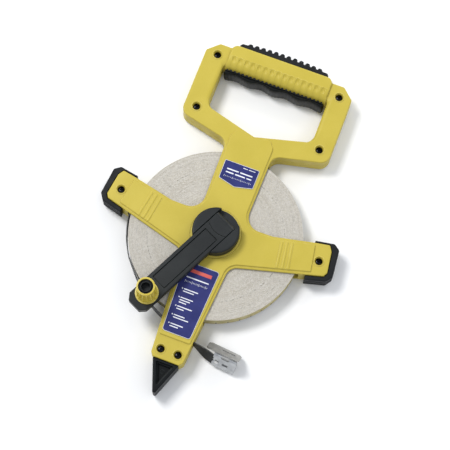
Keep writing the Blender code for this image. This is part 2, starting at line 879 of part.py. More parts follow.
def make_drum(low, high):
    """The drum: its rim, its web, and a collar that stands up to the hub cap."""
    bore = BOSS_R + GAP + BUSH_WALL + GAP
    rim_in = DRUM_R - DRUM_RIM
    web_low, web_high = SPLIT_Z - WEB_HALF, SPLIT_Z + WEB_HALF
    collar_top = HUB_LOW_Z - GAP
    profile = [
        (bore, low + COLLAR_STEP),
        (COLLAR_R, low + COLLAR_STEP),
        (COLLAR_R, web_low),
        (rim_in, web_low),
        (rim_in, low),
        (DRUM_R, low),
        (DRUM_R, high),
        (rim_in, high),
        (rim_in, web_high),
        (COLLAR_R, web_high),
        (COLLAR_R, collar_top),
        (PILOT_R, collar_top),
        (PILOT_R, high - BORE_TOP_DROP),
        (bore, high - BORE_TOP_DROP),
    ]
    return turned("reel_drum", profile, black_plastic(), segments=40)


def make_reel():
    """The drum with its bush, washer and anchor peg, and the coil of tape round it."""
    low, high = SPLIT_Z - TAPE_WIDTH / 2, SPLIT_Z + TAPE_WIDTH / 2
    drum = make_drum(low, high)
    peg_x = DRUM_R - DRUM_RIM / 2
    notch = bmesh.new()
    add_rod(notch, ANCHOR_PEG_R + GAP, (peg_x, 0, low - CLEAR), (peg_x, 0, high + CLEAR))
    cut(drum, notch)
    peg = bmesh.new()
    add_rod(peg, ANCHOR_PEG_R, (peg_x, 0, low + END_STEP), (peg_x, 0, high - END_STEP))
    new_object("tape_anchor_peg", peg, plated_steel())
    bush_in = BOSS_R + GAP
    bush = tube_profile(bush_in, bush_in + BUSH_WALL, low + END_STEP, high - BUSH_TOP_DROP)
    turned("drum_bush", bush, material("bush_brass", BRASS, 0.35, 1.0), segments=28)
    washer = tube_profile(bush_in, COLLAR_R, SPLIT_Z - POCKET_RISE + GAP, low)
    turned("thrust_washer", washer, plated_steel(), segments=28)
    coil = tube_profile(DRUM_R + GAP, COIL_R, low, high)
    turned("tape_coil", coil, material("tape_edge", TAPE, 0.75), segments=96)


# Crank


def crank_root():
    """An empty on the reel's axis whose +X runs along the crank arm."""
    root = bpy.data.objects.new("crank_direction", None)
    root.rotation_euler.z = CRANK_ANGLE
    bpy.context.scene.collection.objects.link(root)
    return root


def empty_at(name, location, parent):
    made = bpy.data.objects.new(name, None)
    made.location = [mm(value) for value in location]
    made.parent = parent
    bpy.context.scene.collection.objects.link(made)
    return made


def make_hub(root):
    """A disc with a channel that the arm lies in, and two cheeks that hold its pin."""
    profile = [
        (0, HUB_LOW_Z),
        (HUB_R - HUB_LOW_BEVEL, HUB_LOW_Z),
        (HUB_R, HUB_LOW_Z + HUB_LOW_BEVEL),
        (HUB_R, HUB_TOP_Z - HUB_TOP_BEVEL),
        (HUB_R - HUB_TOP_BEVEL, HUB_TOP_Z),
        (0, HUB_TOP_Z),
    ]
    hub = turned("hub_cap", profile, black_plastic(), segments=48)
    hub.parent = root
    past = HUB_R + CLEAR
    channel = bmesh.new()
    add_box(channel, (-past, -CHANNEL_HALF, HUB_FLOOR_Z), (past, CHANNEL_HALF, HUB_TOP_Z + CLEAR))
    cut(hub, channel)
    holes = bmesh.new()
    seat = HUB_FLOOR_Z - HUB_SEAT_DEPTH
    stepped = [
        (0, HUB_LOW_Z - CLEAR),
        (HUB_SCREW_BORE_R, HUB_LOW_Z - CLEAR),
        (HUB_SCREW_BORE_R, seat),
        (HUB_SEAT_R, seat),
        (HUB_SEAT_R, HUB_FLOOR_Z + CLEAR),
        (0, HUB_FLOOR_Z + CLEAR),
    ]
    add_turned(holes, stepped, segments=24)
    add_rod(holes, PIN_R + GAP, (HINGE_REACH, -past, HINGE_Z), (HINGE_REACH, past, HINGE_Z))
    cut(hub, holes)
    make_hub_screw(root, seat)


def make_hub_screw(root, seat):
    side, down = HUB_SCREW_HEAD_BEVEL
    top = HUB_FLOOR_Z - HUB_SCREW_SINK
    profile = [
        (0, HUB_SCREW_TIP_Z),
        (HUB_SCREW_TIP_R, HUB_SCREW_TIP_Z),
        (HUB_SCREW_R, HUB_SCREW_TIP_Z + HUB_SCREW_TIP_H),
        (HUB_SCREW_R, seat + GAP),
        (HUB_SCREW_HEAD_R, seat + GAP),
        (HUB_SCREW_HEAD_R, top - down),
        (HUB_SCREW_HEAD_R - side, top),
        (0, top),
    ]
    screw = turned("hub_screw", profile, plated_steel(), segments=24)
    screw.parent = root


def arm_outline():
    """The arm from above, with its hinge line at x = 0."""
    end = TIP_REACH - HINGE_REACH
    along, across = TIP_CUT
    right = [
        (end - along, -ARM_HALF, TIP_ROUND),
        (end, across - ARM_HALF, TIP_ROUND),
        (end, ARM_HALF - across, TIP_ROUND),
        (end - along, ARM_HALF, TIP_ROUND),
    ]
    return [(0, -ARM_HALF, 0), *right, (0, ARM_HALF, 0)]


def add_pad_groove(bm):
    """A bowed groove across the arm that outlines the thumb pad over the hinge."""
    stations = []
    for k in range(PAD_STEPS + 1):
        side = -1 + 2 * k / PAD_STEPS
        x = PAD_END_REACH - HINGE_REACH + PAD_SAG * (1 - side * side)
        y = side * (ARM_HALF + CLEAR)
        near, far = x - GROOVE_HALF, x + GROOVE_HALF
        floor, above = ARM_RISE - GROOVE_DEPTH, ARM_RISE + CLEAR
        stations.append([(near, y, floor), (far, y, floor), (far, y, above), (near, y, above)])
    add_ribbon(bm, stations)


def make_arm(hinge):
    """The arm's plate and hinge barrel, with a recessed panel, a pin bore and the post's hole."""
    levels = [
        (ARM_LOW_BEVEL, -ARM_RISE),
        (0, ARM_LOW_BEVEL - ARM_RISE),
        (0, ARM_RISE - ARM_TOP_BEVEL),
        (ARM_TOP_BEVEL, ARM_RISE),
    ]
    bm = bmesh.new()
    add_slab(bm, [arm_outline()], levels)
    arm = new_object("crank_arm", bm, black_plastic())
    arm.parent = hinge
    barrel = bmesh.new()
    add_rod(barrel, ARM_RISE, (0, -ARM_HALF, 0), (0, ARM_HALF, 0), 32)
    join(arm, barrel)
    hollows = bmesh.new()
    near, far = [reach - HINGE_REACH for reach in ARM_PANEL_REACH]
    half, turn = ARM_PANEL_HALF, ARM_PANEL_ROUND
    panel = [(near, -half, turn), (far, -half, turn), (far, half, turn), (near, half, turn)]
    add_slab(hollows, [panel], [(ARM_PANEL_SLOPE, ARM_RISE - ARM_PANEL_DEPTH), (0, ARM_RISE + CLEAR)])
    past = ARM_HALF + CLEAR
    add_rod(hollows, PIN_R + GAP, (0, -past, 0), (0, past, 0))
    hole = rod_profile(POST_SHANK_R + GAP, -ARM_RISE - CLEAR, ARM_RISE + CLEAR)
    add_turned(hollows, hole, (KNOB_REACH - HINGE_REACH, 0), 24)
    cut(arm, hollows)
    groove = bmesh.new()
    add_pad_groove(groove)
    cut(arm, groove)


def make_crank(root):
    hinge = empty_at("crank_hinge", (HINGE_REACH, 0, HINGE_Z), root)
    make_arm(hinge)
    pin = bmesh.new()
    add_rod(pin, PIN_R, (0, -PIN_HALF, 0), (0, PIN_HALF, 0))
    made = new_object("crank_pin", pin, plated_steel())
    made.parent = hinge


def knob_profile():
    """A flange, a body that narrows upwards, a rim, and a counterbore for the retainer."""
    bore = POST_R + GAP
    rim_low = KNOB_TOP_Z - KNOB_RIM_H
    return [
        (bore, KNOB_LOW_Z),
        (KNOB_FLANGE_R, KNOB_LOW_Z),
        (KNOB_FLANGE_R, KNOB_LOW_Z + KNOB_FLANGE_H),
        (KNOB_FOOT_R, KNOB_LOW_Z + KNOB_FLANGE_H + KNOB_BEVEL_H),
        (KNOB_NECK_R, rim_low - KNOB_BEVEL_H),
        (KNOB_RIM_R, rim_low),
        (KNOB_RIM_R, KNOB_TOP_Z - KNOB_LIP_H),
        (KNOB_RIM_TOP_R, KNOB_TOP_Z),
        (COUNTERBORE_R, KNOB_TOP_Z),
        (COUNTERBORE_R, COUNTERBORE_Z),
        (bore, COUNTERBORE_Z),
    ]


def post_profile():
    """A shank in the arm, a shoulder on it, and a hollow top."""
    foot = ARM_LOW_Z + ARM_LOW_BEVEL
    shoulder = ARM_TOP_Z + GAP
    return [
        (0, foot),
        (POST_SHANK_R, foot),
        (POST_SHANK_R, shoulder),
        (POST_R, shoulder),
        (POST_R, POST_TOP_Z - POST_BEVEL),
        (POST_R - POST_BEVEL, POST_TOP_Z),
        (POST_HOLLOW_R, POST_TOP_Z),
        (POST_HOLLOW_R, POST_HOLLOW_Z),
        (0, POST_HOLLOW_Z),
    ]


def make_knob(root):
    place = empty_at("knob_axis", (KNOB_REACH, 0, 0), root)
    knob = turned("grip_knob", knob_profile(), yellow_plastic(), segments=32)
    knob.parent = place
    post = turned("knob_post", post_profile(), black_plastic(), segments=28)
    post.parent = place
    ring = tube_profile(POST_R + GAP, RETAINER_R, COUNTERBORE_Z + GAP, RETAINER_TOP_Z)
    retainer = turned("knob_retainer", ring, black_steel(), segments=28)
    retainer.parent = place


# Leader and end clip


def bend_point(a, b, c, d, t):
    """The point this part of the way from b to c, on a smooth curve that passes a and d as well."""
    slope = (c - a) * t
    square = (2 * a - 5 * b + 4 * c - d) * t * t
    cube = (3 * b - a - 3 * c + d) * t * t * t
    return (2 * b + slope + square + cube) / 2


def leader_route():
    """The leader's middle line: round the coil, straight through the leg, and out to the clip."""
    radius = COIL_R + GAP + LEADER_T
    start, end, step = LEADER_ARC
    points = []
    for degrees in range(start, end + 1, step):
        angle = math.radians(degrees)
        points.append(Vector((radius * math.cos(angle), radius * math.sin(angle), SPLIT_Z)))
    points += [Vector((x, y, SPLIT_Z)) for x, y in LEADER_OUT]
    around = [2 * points[0] - points[1], *points, 2 * points[-1] - points[-2]]
    route = []
    for a, b, c, d in zip(around, around[1:], around[2:], around[3:]):
        steps = 1 if (c - b).length < SHORT_STRETCH else LEADER_STEPS
        route += [bend_point(a, b, c, d, k / steps) for k in range(steps)]
    route.append(points[-1])
    return route


def strip_sections(route, thickness, width, leans):
    """Cross-sections of a strip on edge: each leans from upright, by turning about its route."""
    sections = []
    for i, point in enumerate(route):
        ahead = (route[min(i + 1, len(route) - 1)] - route[max(i - 1, 0)]).normalized()
        up = Matrix.Rotation(leans[i], 3, ahead) @ Vector((0, 0, width / 2))
        side = ahead.cross(up).normalized() * thickness / 2
        sections.append([point - side - up, point + side - up, point + side + up, point - side + up])
    return sections


def make_leader(root):
    """The tape twists from upright in the leg to the clip's lean, and dips a little to the clip."""
    route = leader_route()
    start, end = TWIST_X
    leans = []
    for point in route:
        part = min(1, max(0, (point.x - start) / (end - start)))
        ease = part * part * (3 - 2 * part)
        leans.append(CLIP_LEAN * ease)
        point.z -= CLIP_DIP * ease
    bm = bmesh.new()
    add_ribbon(bm, strip_sections(route, LEADER_T, TAPE_WIDTH, leans))
    leader = new_object("tape_leader", bm, material("leader_strip", BLACK, 0.55))
    hole = bmesh.new()
    add_rivet_hole(hole)
    combine(leader, hole, "DIFFERENCE", root)


def add_rivet_hole(bm):
    x, z = RIVET_PLACE
    reach = CLIP_OUTER + 2 * CLEAR
    add_rod(bm, RIVET_R + GAP, (x, -reach, z), (x, reach, z), 16)


def clip_root():
    """An empty at the start of the claw's hinge line, turned with the clip."""
    root = empty_at("clip_hinge", CLIP_START, None)
    root.rotation_euler = (CLIP_LEAN, 0, CLIP_YAW)
    return root


def join_clip_parts(clip):
    """The back plate, the fold that joins it to the front plate, and two knuckles."""
    first, last = CLAW_KNUCKLE
    back = bmesh.new()
    add_box(back, (0, SHEET_GAP, -CLIP_DEPTH), (CLIP_LENGTH, CLIP_OUTER, -BACK_TOP))
    join(clip, back)
    fold = bmesh.new()
    reach = CLIP_OUTER - SLIGHT
    low = (CLIP_LENGTH - SHEET, -reach, SLIGHT - CLIP_DEPTH)
    add_box(fold, low, (CLIP_LENGTH + SLIGHT, reach, -BACK_TOP - 2 * SLIGHT))
    join(clip, fold)
    knuckles = bmesh.new()
    add_rod(knuckles, KNUCKLE_R, (SLIGHT, 0, 0), (first - GAP, 0, 0))
    add_rod(knuckles, KNUCKLE_R, (last + GAP, 0, 0), (CLIP_LENGTH - SLIGHT, 0, 0))
    join(clip, knuckles)


def cut_clip(clip):
    """The pin's bore, the gap for the claw's knuckle, the rivet's hole and a slot in the front."""
    first, last = CLAW_KNUCKLE
    bore = bmesh.new()
    add_rod(bore, CLAW_PIN_R + GAP, (-CLEAR, 0, 0), (CLIP_LENGTH + CLEAR, 0, 0), 16)
    cut(clip, bore)
    notch = bmesh.new()
    add_rod(notch, KNUCKLE_R + NOTCH_ROOM, (first - GAP, 0, 0), (last + GAP, 0, 0))
    cut(clip, notch)
    windows = bmesh.new()
    add_rivet_hole(windows)
    (left, low), (right, high) = CLIP_SLOT
    add_box(windows, (left, -CLIP_OUTER - CLEAR, low), (right, GAP - SHEET_GAP, high))
    cut(clip, windows)


def make_rivet(root):
    x, z = RIVET_PLACE
    under = CLIP_OUTER + GAP
    head = under + RIVET_HEAD_H
    bm = bmesh.new()
    add_rod(bm, RIVET_HEAD_R, (x, -head, z), (x, -under, z))
    rivet = new_object("leader_rivet", bm, plated_steel())
    rivet.parent = root
    shaft = bmesh.new()
    add_rod(shaft, RIVET_R, (x, RIVET_SINK - head, z), (x, head - RIVET_SINK, z))
    join(rivet, shaft)
    far_head = bmesh.new()
    add_rod(far_head, RIVET_HEAD_R, (x, under, z), (x, head, z))
    join(rivet, far_head)


def make_clip(root):
    """A sheet folded round the leader's end, with its rivet and the claw's pin."""
    bm = bmesh.new()
    add_box(bm, (0, -CLIP_OUTER, -CLIP_DEPTH), (CLIP_LENGTH, -SHEET_GAP, 0))
    clip = new_object("end_clip", bm, plated_steel())
    clip.parent = root
    join_clip_parts(clip)
    cut_clip(clip)
    make_rivet(root)
    pin = bmesh.new()
    add_rod(pin, CLAW_PIN_R, (CLAW_PIN_SHORT, 0, 0), (CLIP_LENGTH - CLAW_PIN_SHORT, 0, 0), 12)
    made = new_object("claw_pin", pin, plated_steel())
    made.parent = root


def claw_outline():
    """The plate from the front as (x, z), with cut-off corners."""
    left, right = CLAW_ENDS
    left_low, right_low = CLAW_SHOULDER_LOW
    foot = -CLAW_REACH
    return [
        (left + CLAW_SHOULDER, CLAW_TOP),
        (left, left_low),
        (left, foot + CLAW_CORNER),
        (left + CLAW_CORNER, foot),
        (right - CLAW_CORNER, foot),
        (right, foot + CLAW_CORNER),
        (right, right_low),
        (right - CLAW_SHOULDER, CLAW_TOP),
    ]


def make_claw(root):
    """A plate that hangs from the clip's pin, set off its line so that it folds against the clip."""
    hinge = empty_at("claw_hinge", (0, 0, 0), root)
    hinge.rotation_euler.x = CLAW_HANG - CLIP_LEAN
    near, far = CLAW_OFFSET, CLAW_OFFSET + SHEET
    bm = bmesh.new()
    add_ribbon(bm, [[(x, y, z) for x, z in claw_outline()] for y in (near, far)])
    claw = new_object("hook_claw", bm, plated_steel())
    claw.parent = hinge
    first, last = CLAW_KNUCKLE
    (neck_near, neck_low), (neck_far, neck_high) = CLAW_NECK
    neck = bmesh.new()
    add_box(neck, (first, neck_near, neck_low), (last, neck_far, neck_high))
    join(claw, neck)
    knuckle = bmesh.new()
    add_rod(knuckle, KNUCKLE_R, (first, 0, 0), (last, 0, 0))
    join(claw, knuckle)
    holes = bmesh.new()
    add_rod(holes, CLAW_PIN_R + GAP, (first - CLEAR, 0, 0), (last + CLEAR, 0, 0), 16)
    cut(claw, holes)
    slot = bmesh.new()
    (left, low), (right, high) = CLAW_SLOT
    add_box(slot, (left, near - CLEAR, low), (right, far + CLEAR, high))
    cut(claw, slot)


# Labels


def make_label(name, right):
    bm = bmesh.new()
    low = FRONT_Z + GAP
    add_slab(bm, [both_sides(right)], [(0, low), (0, low + LABEL_T)])
    new_object(name, bm, material("blue_label", BLUE, 0.35))


def main():
    clear_scene()
    make_front_frame()
    make_back_frame()
    make_palm_strip()
    make_finger_grip()
    make_bumper("bumper_left", -1)
    make_bumper("bumper_right", 1)
    make_ground_spike()
    make_frame_screws()
    make_reel()
    direction = crank_root()
    make_hub(direction)
    make_crank(direction)
    make_knob(direction)
    clip = clip_root()
    make_leader(clip)
    make_clip(clip)
    make_claw(clip)
    make_label("neck_label", NECK_LABEL)
    make_label("leg_label", LEG_LABEL)


main()
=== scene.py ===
"""Looks of the surveyor tape reel: fine shapes, materials, floor, light and camera.

Lengths are millimetres in the reel's own frame, with +Z from its flat back to the crank and +Y from
the spike to the handle, and mm() turns them into metres.
"""

import json
import math

import bmesh
import bpy
from mathutils import Matrix, Vector, noise
from mathutils.geometry import tessellate_polygon


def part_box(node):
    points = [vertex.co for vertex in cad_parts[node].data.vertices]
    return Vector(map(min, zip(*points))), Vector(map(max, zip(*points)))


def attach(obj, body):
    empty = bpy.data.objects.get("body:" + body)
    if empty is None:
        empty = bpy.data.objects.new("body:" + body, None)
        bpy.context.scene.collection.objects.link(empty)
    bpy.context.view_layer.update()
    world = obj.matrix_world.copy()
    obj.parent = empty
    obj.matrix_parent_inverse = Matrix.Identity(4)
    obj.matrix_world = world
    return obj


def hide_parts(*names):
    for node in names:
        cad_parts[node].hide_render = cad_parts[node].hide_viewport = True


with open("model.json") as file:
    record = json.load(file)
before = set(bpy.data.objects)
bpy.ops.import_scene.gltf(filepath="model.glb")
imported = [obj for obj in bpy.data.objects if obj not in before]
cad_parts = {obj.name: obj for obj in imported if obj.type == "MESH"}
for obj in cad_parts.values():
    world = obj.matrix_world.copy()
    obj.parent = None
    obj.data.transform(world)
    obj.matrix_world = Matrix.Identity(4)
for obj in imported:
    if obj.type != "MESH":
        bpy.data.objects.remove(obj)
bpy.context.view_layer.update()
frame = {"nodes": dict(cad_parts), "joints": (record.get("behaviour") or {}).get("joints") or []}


def box_mm(node):
    low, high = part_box(node)
    return low * 1000, high * 1000


def joint_place(name):
    return Vector(next(j for j in frame["joints"] if j["name"] == name)["pos_m"]) * 1000


# Facts read from the frame
COIL_LOW, COIL_HIGH = box_mm("tape_coil")
SPLIT_Z = (COIL_LOW.z + COIL_HIGH.z) / 2
FRAME_LOW, FRAME_HIGH = box_mm("front_frame")
HUB_LOW, HUB_HIGH = box_mm("hub_cap")
KNOB_LOW, KNOB_HIGH = box_mm("grip_knob")
ARM_LOW, ARM_HIGH = box_mm("crank_arm")
SCREW_TOP = box_mm("frame_screw_1")[1].z
KNOB_PLACE = joint_place("knob_spin")
CRANK_HINGE = joint_place("crank_fold")
CLAW_HINGE = joint_place("claw_fold")
CRANK_ANGLE = math.atan2(KNOB_PLACE.y, KNOB_PLACE.x)
SLIT_TURN = Matrix.Rotation(CRANK_ANGLE, 4, "Z")

# Frame shells: rises are measured from the split plane
SEAM = 0.15
RIM_RISE = 9.0
CEILING_RISE = 6.6
POCKET_RISE = 7.5
PANEL_RISE = 10.5
WALL = 2.4
POCKET_R = 77.5
FRAME_RIGHT = [
    (11.4, FRAME_LOW.y, 0.8),
    (14.2, -112.8, 1.5),
    (21.0, -23.1, 10.0),
    (97.2, -2.4, 1.5),
    (99.3, 1.2, 1.5),
    (96.7, 20.0, 1.5),
    (93.6, 25.0, 1.5),
    (80.0, 22.6, 0.0),
    (46.0, 15.1, 0.0),
    (19.9, 14.6, 13.0),
    (21.2, 81.9, 9.0),
    (67.5, 92.7, 9.0),
    (67.6, 155.0, 2.5),
    (57.7, 164.2, 2.5),
    (46.5, 164.2, 3.0),
    (42.0, FRAME_HIGH.y, 2.5),
]
BAR_LOW_Y = 144.1
WINDOW_RIGHT = [(0.0, 93.1, 2.0), (48.3, 106.0, 10.0), (48.3, BAR_LOW_Y + 3.5, 3.5)]
WINDOW_ROLL = 3.6
PANEL_RIGHT = [
    (13.6, -96.6, 1.5),
    (19.0, -21.4, 12.0),
    (86.0, -2.9, 1.0),
    (81.9, 20.6, 1.0),
    (46.0, 13.3, 0.0),
    (18.1, 12.8, 14.8),
    (19.3, 88.0, 6.0),
    (14.5, 94.6, 3.0),
    (0.0, 91.2, 0.0),
]
RIB_LINES = [((54.6, 13.6), (58.0, -10.4)), ((58.9, 14.6), (62.6, -9.2)), ((63.2, 15.5), (67.2, -8.0))]
SCREW_PLACES = [(56.5, 153.7), (56.5, 102.0), (89.4, 8.5), (7.6, -108.0)]
SCREW_BORE_R = 3.2
SCREW_LIP_R = 4.75
SCREW_HEAD_R = 2.9

# Handle bar: a flat face that rolls over towards the fingers, with a flute for each palm tooth
BAR_HALF = 46.6
BAR_ROOT_HALF = 51.2
BAR_ROLL_Y = 156.0
BAR_FRONT_RISE = 11.5
FLUTES = 15
FLUTE_PITCH = 5.88
FLUTE_R = 1.8
FLUTE_TOP_Y = 153.7

# How deep the flutes are at their tops and below, and the lip that stands round them
FLUTE_DEPTH = 0.84
GROOVE_DEPTH = 0.26
LIP_HEIGHT = 0.45
LIP_WIDTH = 0.42

# Grips: the palm's teeth, and the fingers' four waves
PALM_TEETH = 12
PALM_BODY = 3.0
PALM_ARCH = 1.2
TOOTH_RISE = 2.5
FINGER_WAVES = 4
FINGER_DROP = 3.9
FINGER_WAVE = 1.2
GRIP_TONGUE = (36, 2)
STEPS_PER_PITCH = 14

# Arms: low ribs, and the bumpers with the pegs that hold them
RIB_HALF = 1.25
RIB_RISE = 0.7
BOSS_R = 4.8
LEG_BOSS_FOOT = 3.7
FIT = 0.3
PEG_X = (94.8, 101.6)
PEG_Y = (5.6, 11.4)
PEG_HALF = 3.0
BUMPER_OUTER = [(80.6, 25.0, 0.5), (82.6, -10.6, 0.5), (100.8, -5.7, 3.0), (104.8, 0.2, 3.0),
                (102.4, 24.0, 3.0), (97.0, 27.9, 3.0)]

# Leader and clip
CLIP_YAW = math.radians(-5)
CLIP_LEAN = math.radians(-24)
CLAW_HANG = math.radians(31)
LEADER_THICKNESS = 0.8
TAPE_WIDTH = 13.0
KNUCKLE_R = 1.3
PIN_BORE_R = 0.9
KNUCKLE_START = 7.1
KNUCKLE_END = 13.4

# Labels: right half of each sticker's outline
NECK_LABEL = [(0.0, 43.8, 1.0), (15.4, 47.6, 1.0), (15.6, 64.8, 1.0)]
LEG_LABEL = [(12.3, -93.0, 2.5), (15.4, -31.0, 2.5)]

# Camera: how the reel's frame is turned for it, and where it then stands
TILT = Matrix.Rotation(math.radians(-16.46), 3, "X")
PAN = Matrix.Rotation(math.radians(0.6), 3, "Y")
ROLL = Matrix.Rotation(math.radians(-20.65), 3, "Z")
VIEW = TILT @ PAN @ ROLL
CAMERA_PLACE = Vector((7.94, 13.04, 1200.0))

# Lights: direction as seen from the camera, distance and size in metres, power in watts, colour
LIGHTS = {
    "key": ((-0.55, 0.75, 1.0), 1.8, 0.55, 20.2, (1.0, 0.99, 0.975)),
    "top": ((0.2, -0.1, 1.0), 2.4, 1.6, 4.7, (1, 1, 1)),
    "rim": ((0.72, 0.66, 0.42), 1.1, 0.16, 0.9, (1, 1, 1)),
    "low": ((0.554, 0.837, 0.05), 1.0, 0.22, 1.6, (1, 1, 1)),
}


def mm(value):
    return value / 1000


# Materials


class Recipe:
    """A node material on one Principled shader, with short calls for the nodes that it uses."""

    def __init__(self, name, roughness, metallic=0.0):
        self.material = bpy.data.materials.new(name)
        self.material.use_nodes = True
        self.tree = self.material.node_tree
        self.shader = self.tree.nodes["Principled BSDF"]
        self.set("Roughness", roughness)
        self.set("Metallic", metallic)
        self.coords = self.node("ShaderNodeTexCoord").outputs["Object"]

    def set(self, socket, value):
        self.shader.inputs[socket].default_value = value

    def node(self, kind, **settings):
        made = self.tree.nodes.new(kind)
        for key, value in settings.items():
            setattr(made, key, value)
        return made

    def link(self, output, socket):
        self.tree.links.new(output, socket)

    def feed(self, output, socket):
        self.link(output, self.shader.inputs[socket])

    def noise(self, size, detail=2.0, stretch=(1, 1, 1), source=None):
        """Noise with features of this size in millimetres."""
        mapping = self.node("ShaderNodeMapping")
        mapping.inputs["Scale"].default_value = stretch
        self.link(source or self.coords, mapping.inputs["Vector"])
        made = self.node("ShaderNodeTexNoise")
        made.inputs["Scale"].default_value = 1000 / size
        made.inputs["Detail"].default_value = detail
        self.link(mapping.outputs["Vector"], made.inputs["Vector"])
        return made.outputs[0]

    def spread(self, value, low, high, start=0.35, end=0.65):
        """The value between start and end, mapped to low and high."""
        made = self.node("ShaderNodeMapRange")
        for socket, number in (("From Min", start), ("From Max", end), ("To Min", low), ("To Max", high)):
            made.inputs[socket].default_value = number
        self.link(value, made.inputs["Value"])
        return made.outputs["Result"]

    def math(self, operation, one, two=None):
        made = self.node("ShaderNodeMath", operation=operation)
        for socket, value in zip(made.inputs, (one, two)):
            if isinstance(value, (int, float)):
                socket.default_value = value
            elif value is not None:
                self.link(value, socket)
        return made.outputs[0]

    def tint(self, factor, one, two):
        """A colour between two colours or colour outputs."""
        made = self.node("ShaderNodeMix", data_type="RGBA")
        self.link(factor, made.inputs[0])
        for socket, value in ((made.inputs[6], one), (made.inputs[7], two)):
            if isinstance(value, tuple):
                socket.default_value = (*value, 1)
            else:
                self.link(value, socket)
        return made.outputs[2]

    def edges(self, width):
        """From 0 on flat faces to 1 within this many millimetres of an edge."""
        bevel = self.node("ShaderNodeBevel", samples=4)
        bevel.inputs["Radius"].default_value = mm(width)
        dot = self.node("ShaderNodeVectorMath", operation="DOT_PRODUCT")
        self.link(bevel.outputs["Normal"], dot.inputs[0])
        self.link(self.node("ShaderNodeNewGeometry").outputs["Normal"], dot.inputs[1])
        return self.spread(dot.outputs["Value"], 1, 0, 0.93, 0.998)

    def hollows(self, reach):
        """From 0 in the open to 1 in corners that have walls within this many millimetres."""
        shade = self.node("ShaderNodeAmbientOcclusion", samples=6)
        shade.inputs["Distance"].default_value = mm(reach)
        return self.spread(shade.outputs["AO"], 1, 0, 0.35, 0.95)

    def bump(self, *layers):
        """Layers of (height output, depth in millimetres), one over the other."""
        normal = None
        for height, depth in layers:
            made = self.node("ShaderNodeBump")
            made.inputs["Strength"].default_value = 1
            made.inputs["Distance"].default_value = mm(depth)
            self.link(height, made.inputs["Height"])
            if normal:
                self.link(normal, made.inputs["Normal"])
            normal = made.outputs["Normal"]
        self.feed(normal, "Normal")


def moulded(name, dark, light, roughness, grain_depth, wear_and_highlight_colour, painted_shade_colour, shine=0.3, grain=0.45, wear_and_highlight_amount=0.6,
            painted_shade_amount=0.6):
    """Moulded plastic or rubber: cloudy colour, fine grain, lighter rubbed edges that are part wear and part
    painted highlight, and painted shade darkening the corners.
    """
    recipe = Recipe(name, roughness)
    recipe.set("Specular IOR Level", shine)
    cloud = recipe.spread(recipe.noise(26, 3), 0, 0.7)
    speckle = recipe.spread(recipe.noise(0.9, 2), 0, 0.3)
    color = recipe.tint(recipe.math("ADD", cloud, speckle), dark, light)
    # Painted shade: where ambient occlusion finds walls near, in corners, grooves and flutes, the colour is
    # darkened towards the shade colour
    color = recipe.tint(recipe.math("MULTIPLY", recipe.hollows(0.9), painted_shade_amount), color, painted_shade_colour)
    # Lighter edges: partly edge wear, partly a painted highlight that stands in for the glint along the
    # edges
    wear_and_highlight_mask = recipe.math("MULTIPLY", recipe.edges(0.4), recipe.spread(recipe.noise(5, 4), wear_and_highlight_amount / 3, wear_and_highlight_amount))
    recipe.feed(recipe.tint(wear_and_highlight_mask, color, wear_and_highlight_colour), "Base Color")
    patches = recipe.spread(recipe.noise(9, 4), roughness - 0.06, roughness + 0.07)
    recipe.feed(patches, "Roughness")
    recipe.bump((recipe.noise(grain, 2), grain_depth), (recipe.noise(14, 1), grain_depth * 2))
    return recipe


def metal(name, dark, light, roughness, stretch, brushed=0.012):
    """Brushed or plated metal: fine strokes, smudges and a few darker spots."""
    recipe = Recipe(name, roughness, 1.0)
    strokes = recipe.noise(0.5, 4, stretch)
    smudges = recipe.spread(recipe.noise(6, 4), 0, 1)
    recipe.feed(recipe.tint(smudges, dark, light), "Base Color")
    rough = recipe.math("ADD", recipe.spread(strokes, -0.07, 0.07), recipe.spread(smudges, roughness - 0.05,
                                                                                 roughness + 0.06, 0, 1))
    recipe.feed(rough, "Roughness")
    recipe.bump((strokes, brushed))
    return recipe


def turned_metal(name, color, roughness):
    """Metal turned on a lathe: its fine strokes run round Z."""
    return metal(name, tuple(c * 0.8 for c in color), color, roughness, (1, 1, 8))


